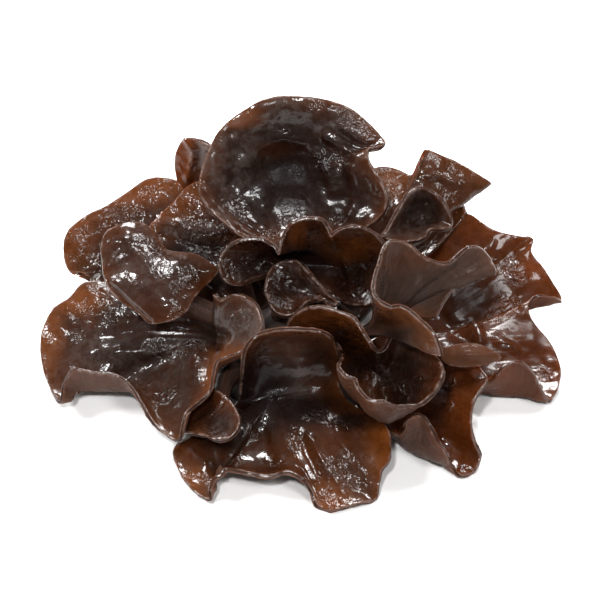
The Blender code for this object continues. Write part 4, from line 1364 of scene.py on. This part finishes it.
# %% The low ear at the back left
grow(
    "behind_left", "brown_ear", seed=18, turn=122, spread=-12, rise=10, leave=0.4, lift=2,
    rim=(
        (100, 252, 6), (112, 243, 8.5), (124, 233, 12), (136, 223, 15.5), (148, 216, 18), (160, 213, 18.5),
        (170, 215, 16.5), (180, 211, 16.5), (192, 202, 20.5), (204, 188, 27), (218, 174, 32),
        (232, 168, 34), (246, 172, 32), (258, 184, 26), (270, 194, 21), (284, 190, 24), (298, 182, 28),
        (308, 184, 27), (314, 196, 21),
    ),
    amber=0.15, rim_amber=0.5, haze=0.25, ripple=0.3,
)

# %% [markdown]
# ## The low ear at the back right
# Its neighbour on the right, made in the same way. Two fans with a gap between them look less like a wall
# than one wide ear.

# %% The low ear at the back right
grow(
    "behind_right", "brown_ear", seed=19, turn=68, spread=-14, rise=10, leave=0.4, lift=2,
    rim=(
        (322, 214, 13), (330, 204, 18), (340, 194, 23), (352, 190, 25), (364, 196, 21), (374, 204, 17),
        (386, 200, 19), (398, 192, 23), (410, 191, 24), (422, 198, 20), (432, 208, 15), (442, 217, 11),
        (450, 228, 8), (456, 240, 6),
    ),
    amber=0.15, rim_amber=0.5, haze=0.25, ripple=0.3,
)

# %% [markdown]
# ## The foot
# All ears grow from one short, tough foot, cut flat where it was taken from the wood. It is hidden under
# the ears but for its cut face, so its pores and fibres are there for whoever turns the clump over. It
# is a swollen dome of rings with the same relief, closed by a flat disc.

# %% Foot
FOOT_SEED = 20
FOOT_RELIEF = {"Swell Height": 0.0004}
FOOT_SIDES = 120
FOOT_RINGS = 34
FOOT_SWELLINGS = 3
FOOT_SWELLING = 0.015
FOOT_TWIST = math.radians(6)
FOOT_RIPPLE = 0.3
CALM_BELOW = 20
FIBRE_STRETCH = np.array((1.0, 1.0, 0.25))
CUT_SHARES = (0.05, 0.97)
DOME_RISES = (0, 87)
CUT_RINGS = 14


def foot_skin(name):
    """The mesh of the foot: a flat cut face, then a dome with low swellings."""
    turns = np.linspace(0, 360, FOOT_SIDES, endpoint=False)
    rings = []

    def add(points, cut, lively):
        numbers = {"under": np.full(len(points), cut), "ripple": np.full(len(points), lively)}
        rings.append({"points": points, **numbers})

    for share in np.linspace(*CUT_SHARES, CUT_RINGS):
        add(foot_point(turns, 0) * share, 1.0, 0.0)
    for rise in np.linspace(*DOME_RISES, FOOT_RINGS):
        wave = np.sin(FOOT_SWELLINGS * np.radians(turns) + FOOT_TWIST * rise)
        dome = foot_point(turns, rise) * (1 - FOOT_SWELLING * (1 + wave))[:, None]
        add(dome, 0.0, min(1.0, rise / CALM_BELOW))
    faces = close_ends(ring_faces(FOOT_SIDES, len(rings), True), FOOT_SIDES, len(rings))
    add(np.zeros((1, 3)), 1.0, 0.0)
    add(foot_point(0, 90)[None], 0.0, 1.0)
    points, numbers = joined(rings)
    numbers["sway"] = points / np.maximum(lengths(points), MM) * numbers["ripple"][:, None]
    numbers["grain"] = points * FIBRE_STRETCH
    numbers["ripple"] *= FOOT_RIPPLE
    return mesh_of(name, faces, points, numbers)


foot_mesh = foot_skin("foot_flesh")
print("the foot has", len(foot_mesh.polygons), "faces before its relief")

# %% Paint of the foot
BARK = ((0.012, 0.0062, 0.0045, 1.0), (0.034, 0.0185, 0.0125, 1.0))
CUT_FACE = ((0.150, 0.088, 0.052, 1.0), (0.330, 0.215, 0.130, 1.0))
BARK_NOISE = (0.0035, 4.0, 0.3)
FIBRE_NOISE = (0.0009, 4.0, 0.8)
HOLE_NOISE = (0.0006, 2.0)
BARK_PATCHES = (0.35, 0.70)
BARK_ROUGHNESS = (0.3, 0.7, 0.45, 0.75)
FIBRE_PATCHES = (0.35, 0.68)
HOLE_STRENGTH, HOLE_DEPTH = 0.4, 0.0001
FIBRE_STRENGTH, FIBRE_DEPTH = 0.6, 0.0004


def foot_paint():
    """The material of the foot: dull brown skin, and a paler fibrous cut face."""
    paint, shader = new_paint("cut_foot", {"Specular IOR Level": 0.4})
    tree = paint.node_tree
    place = wire(tree, "ShaderNodeTexCoord").outputs["Object"]
    mottle = speckle(tree, place, *BARK_NOISE)
    fibres = speckle(tree, carried_paint(tree, "grain", "Vector"), *FIBRE_NOISE)
    bark = blend(tree, between(tree, mottle, *BARK_PATCHES), *BARK)
    face = blend(tree, between(tree, fibres, *FIBRE_PATCHES), *CUT_FACE)
    face = blend(tree, between(tree, carried_paint(tree, "under"), *SIDES), bark, face)
    tree.links.new(face, shader.inputs["Base Color"])
    tree.links.new(between(tree, mottle, *BARK_ROUGHNESS), shader.inputs["Roughness"])
    holes = raised(tree, speckle(tree, place, *HOLE_NOISE), HOLE_STRENGTH, HOLE_DEPTH)
    tree.links.new(raised(tree, fibres, FIBRE_STRENGTH, FIBRE_DEPTH, holes), shader.inputs["Normal"])
    return paint


dress(foot_mesh, "foot", foot_paint(), FOOT_SEED, FOOT_RELIEF)
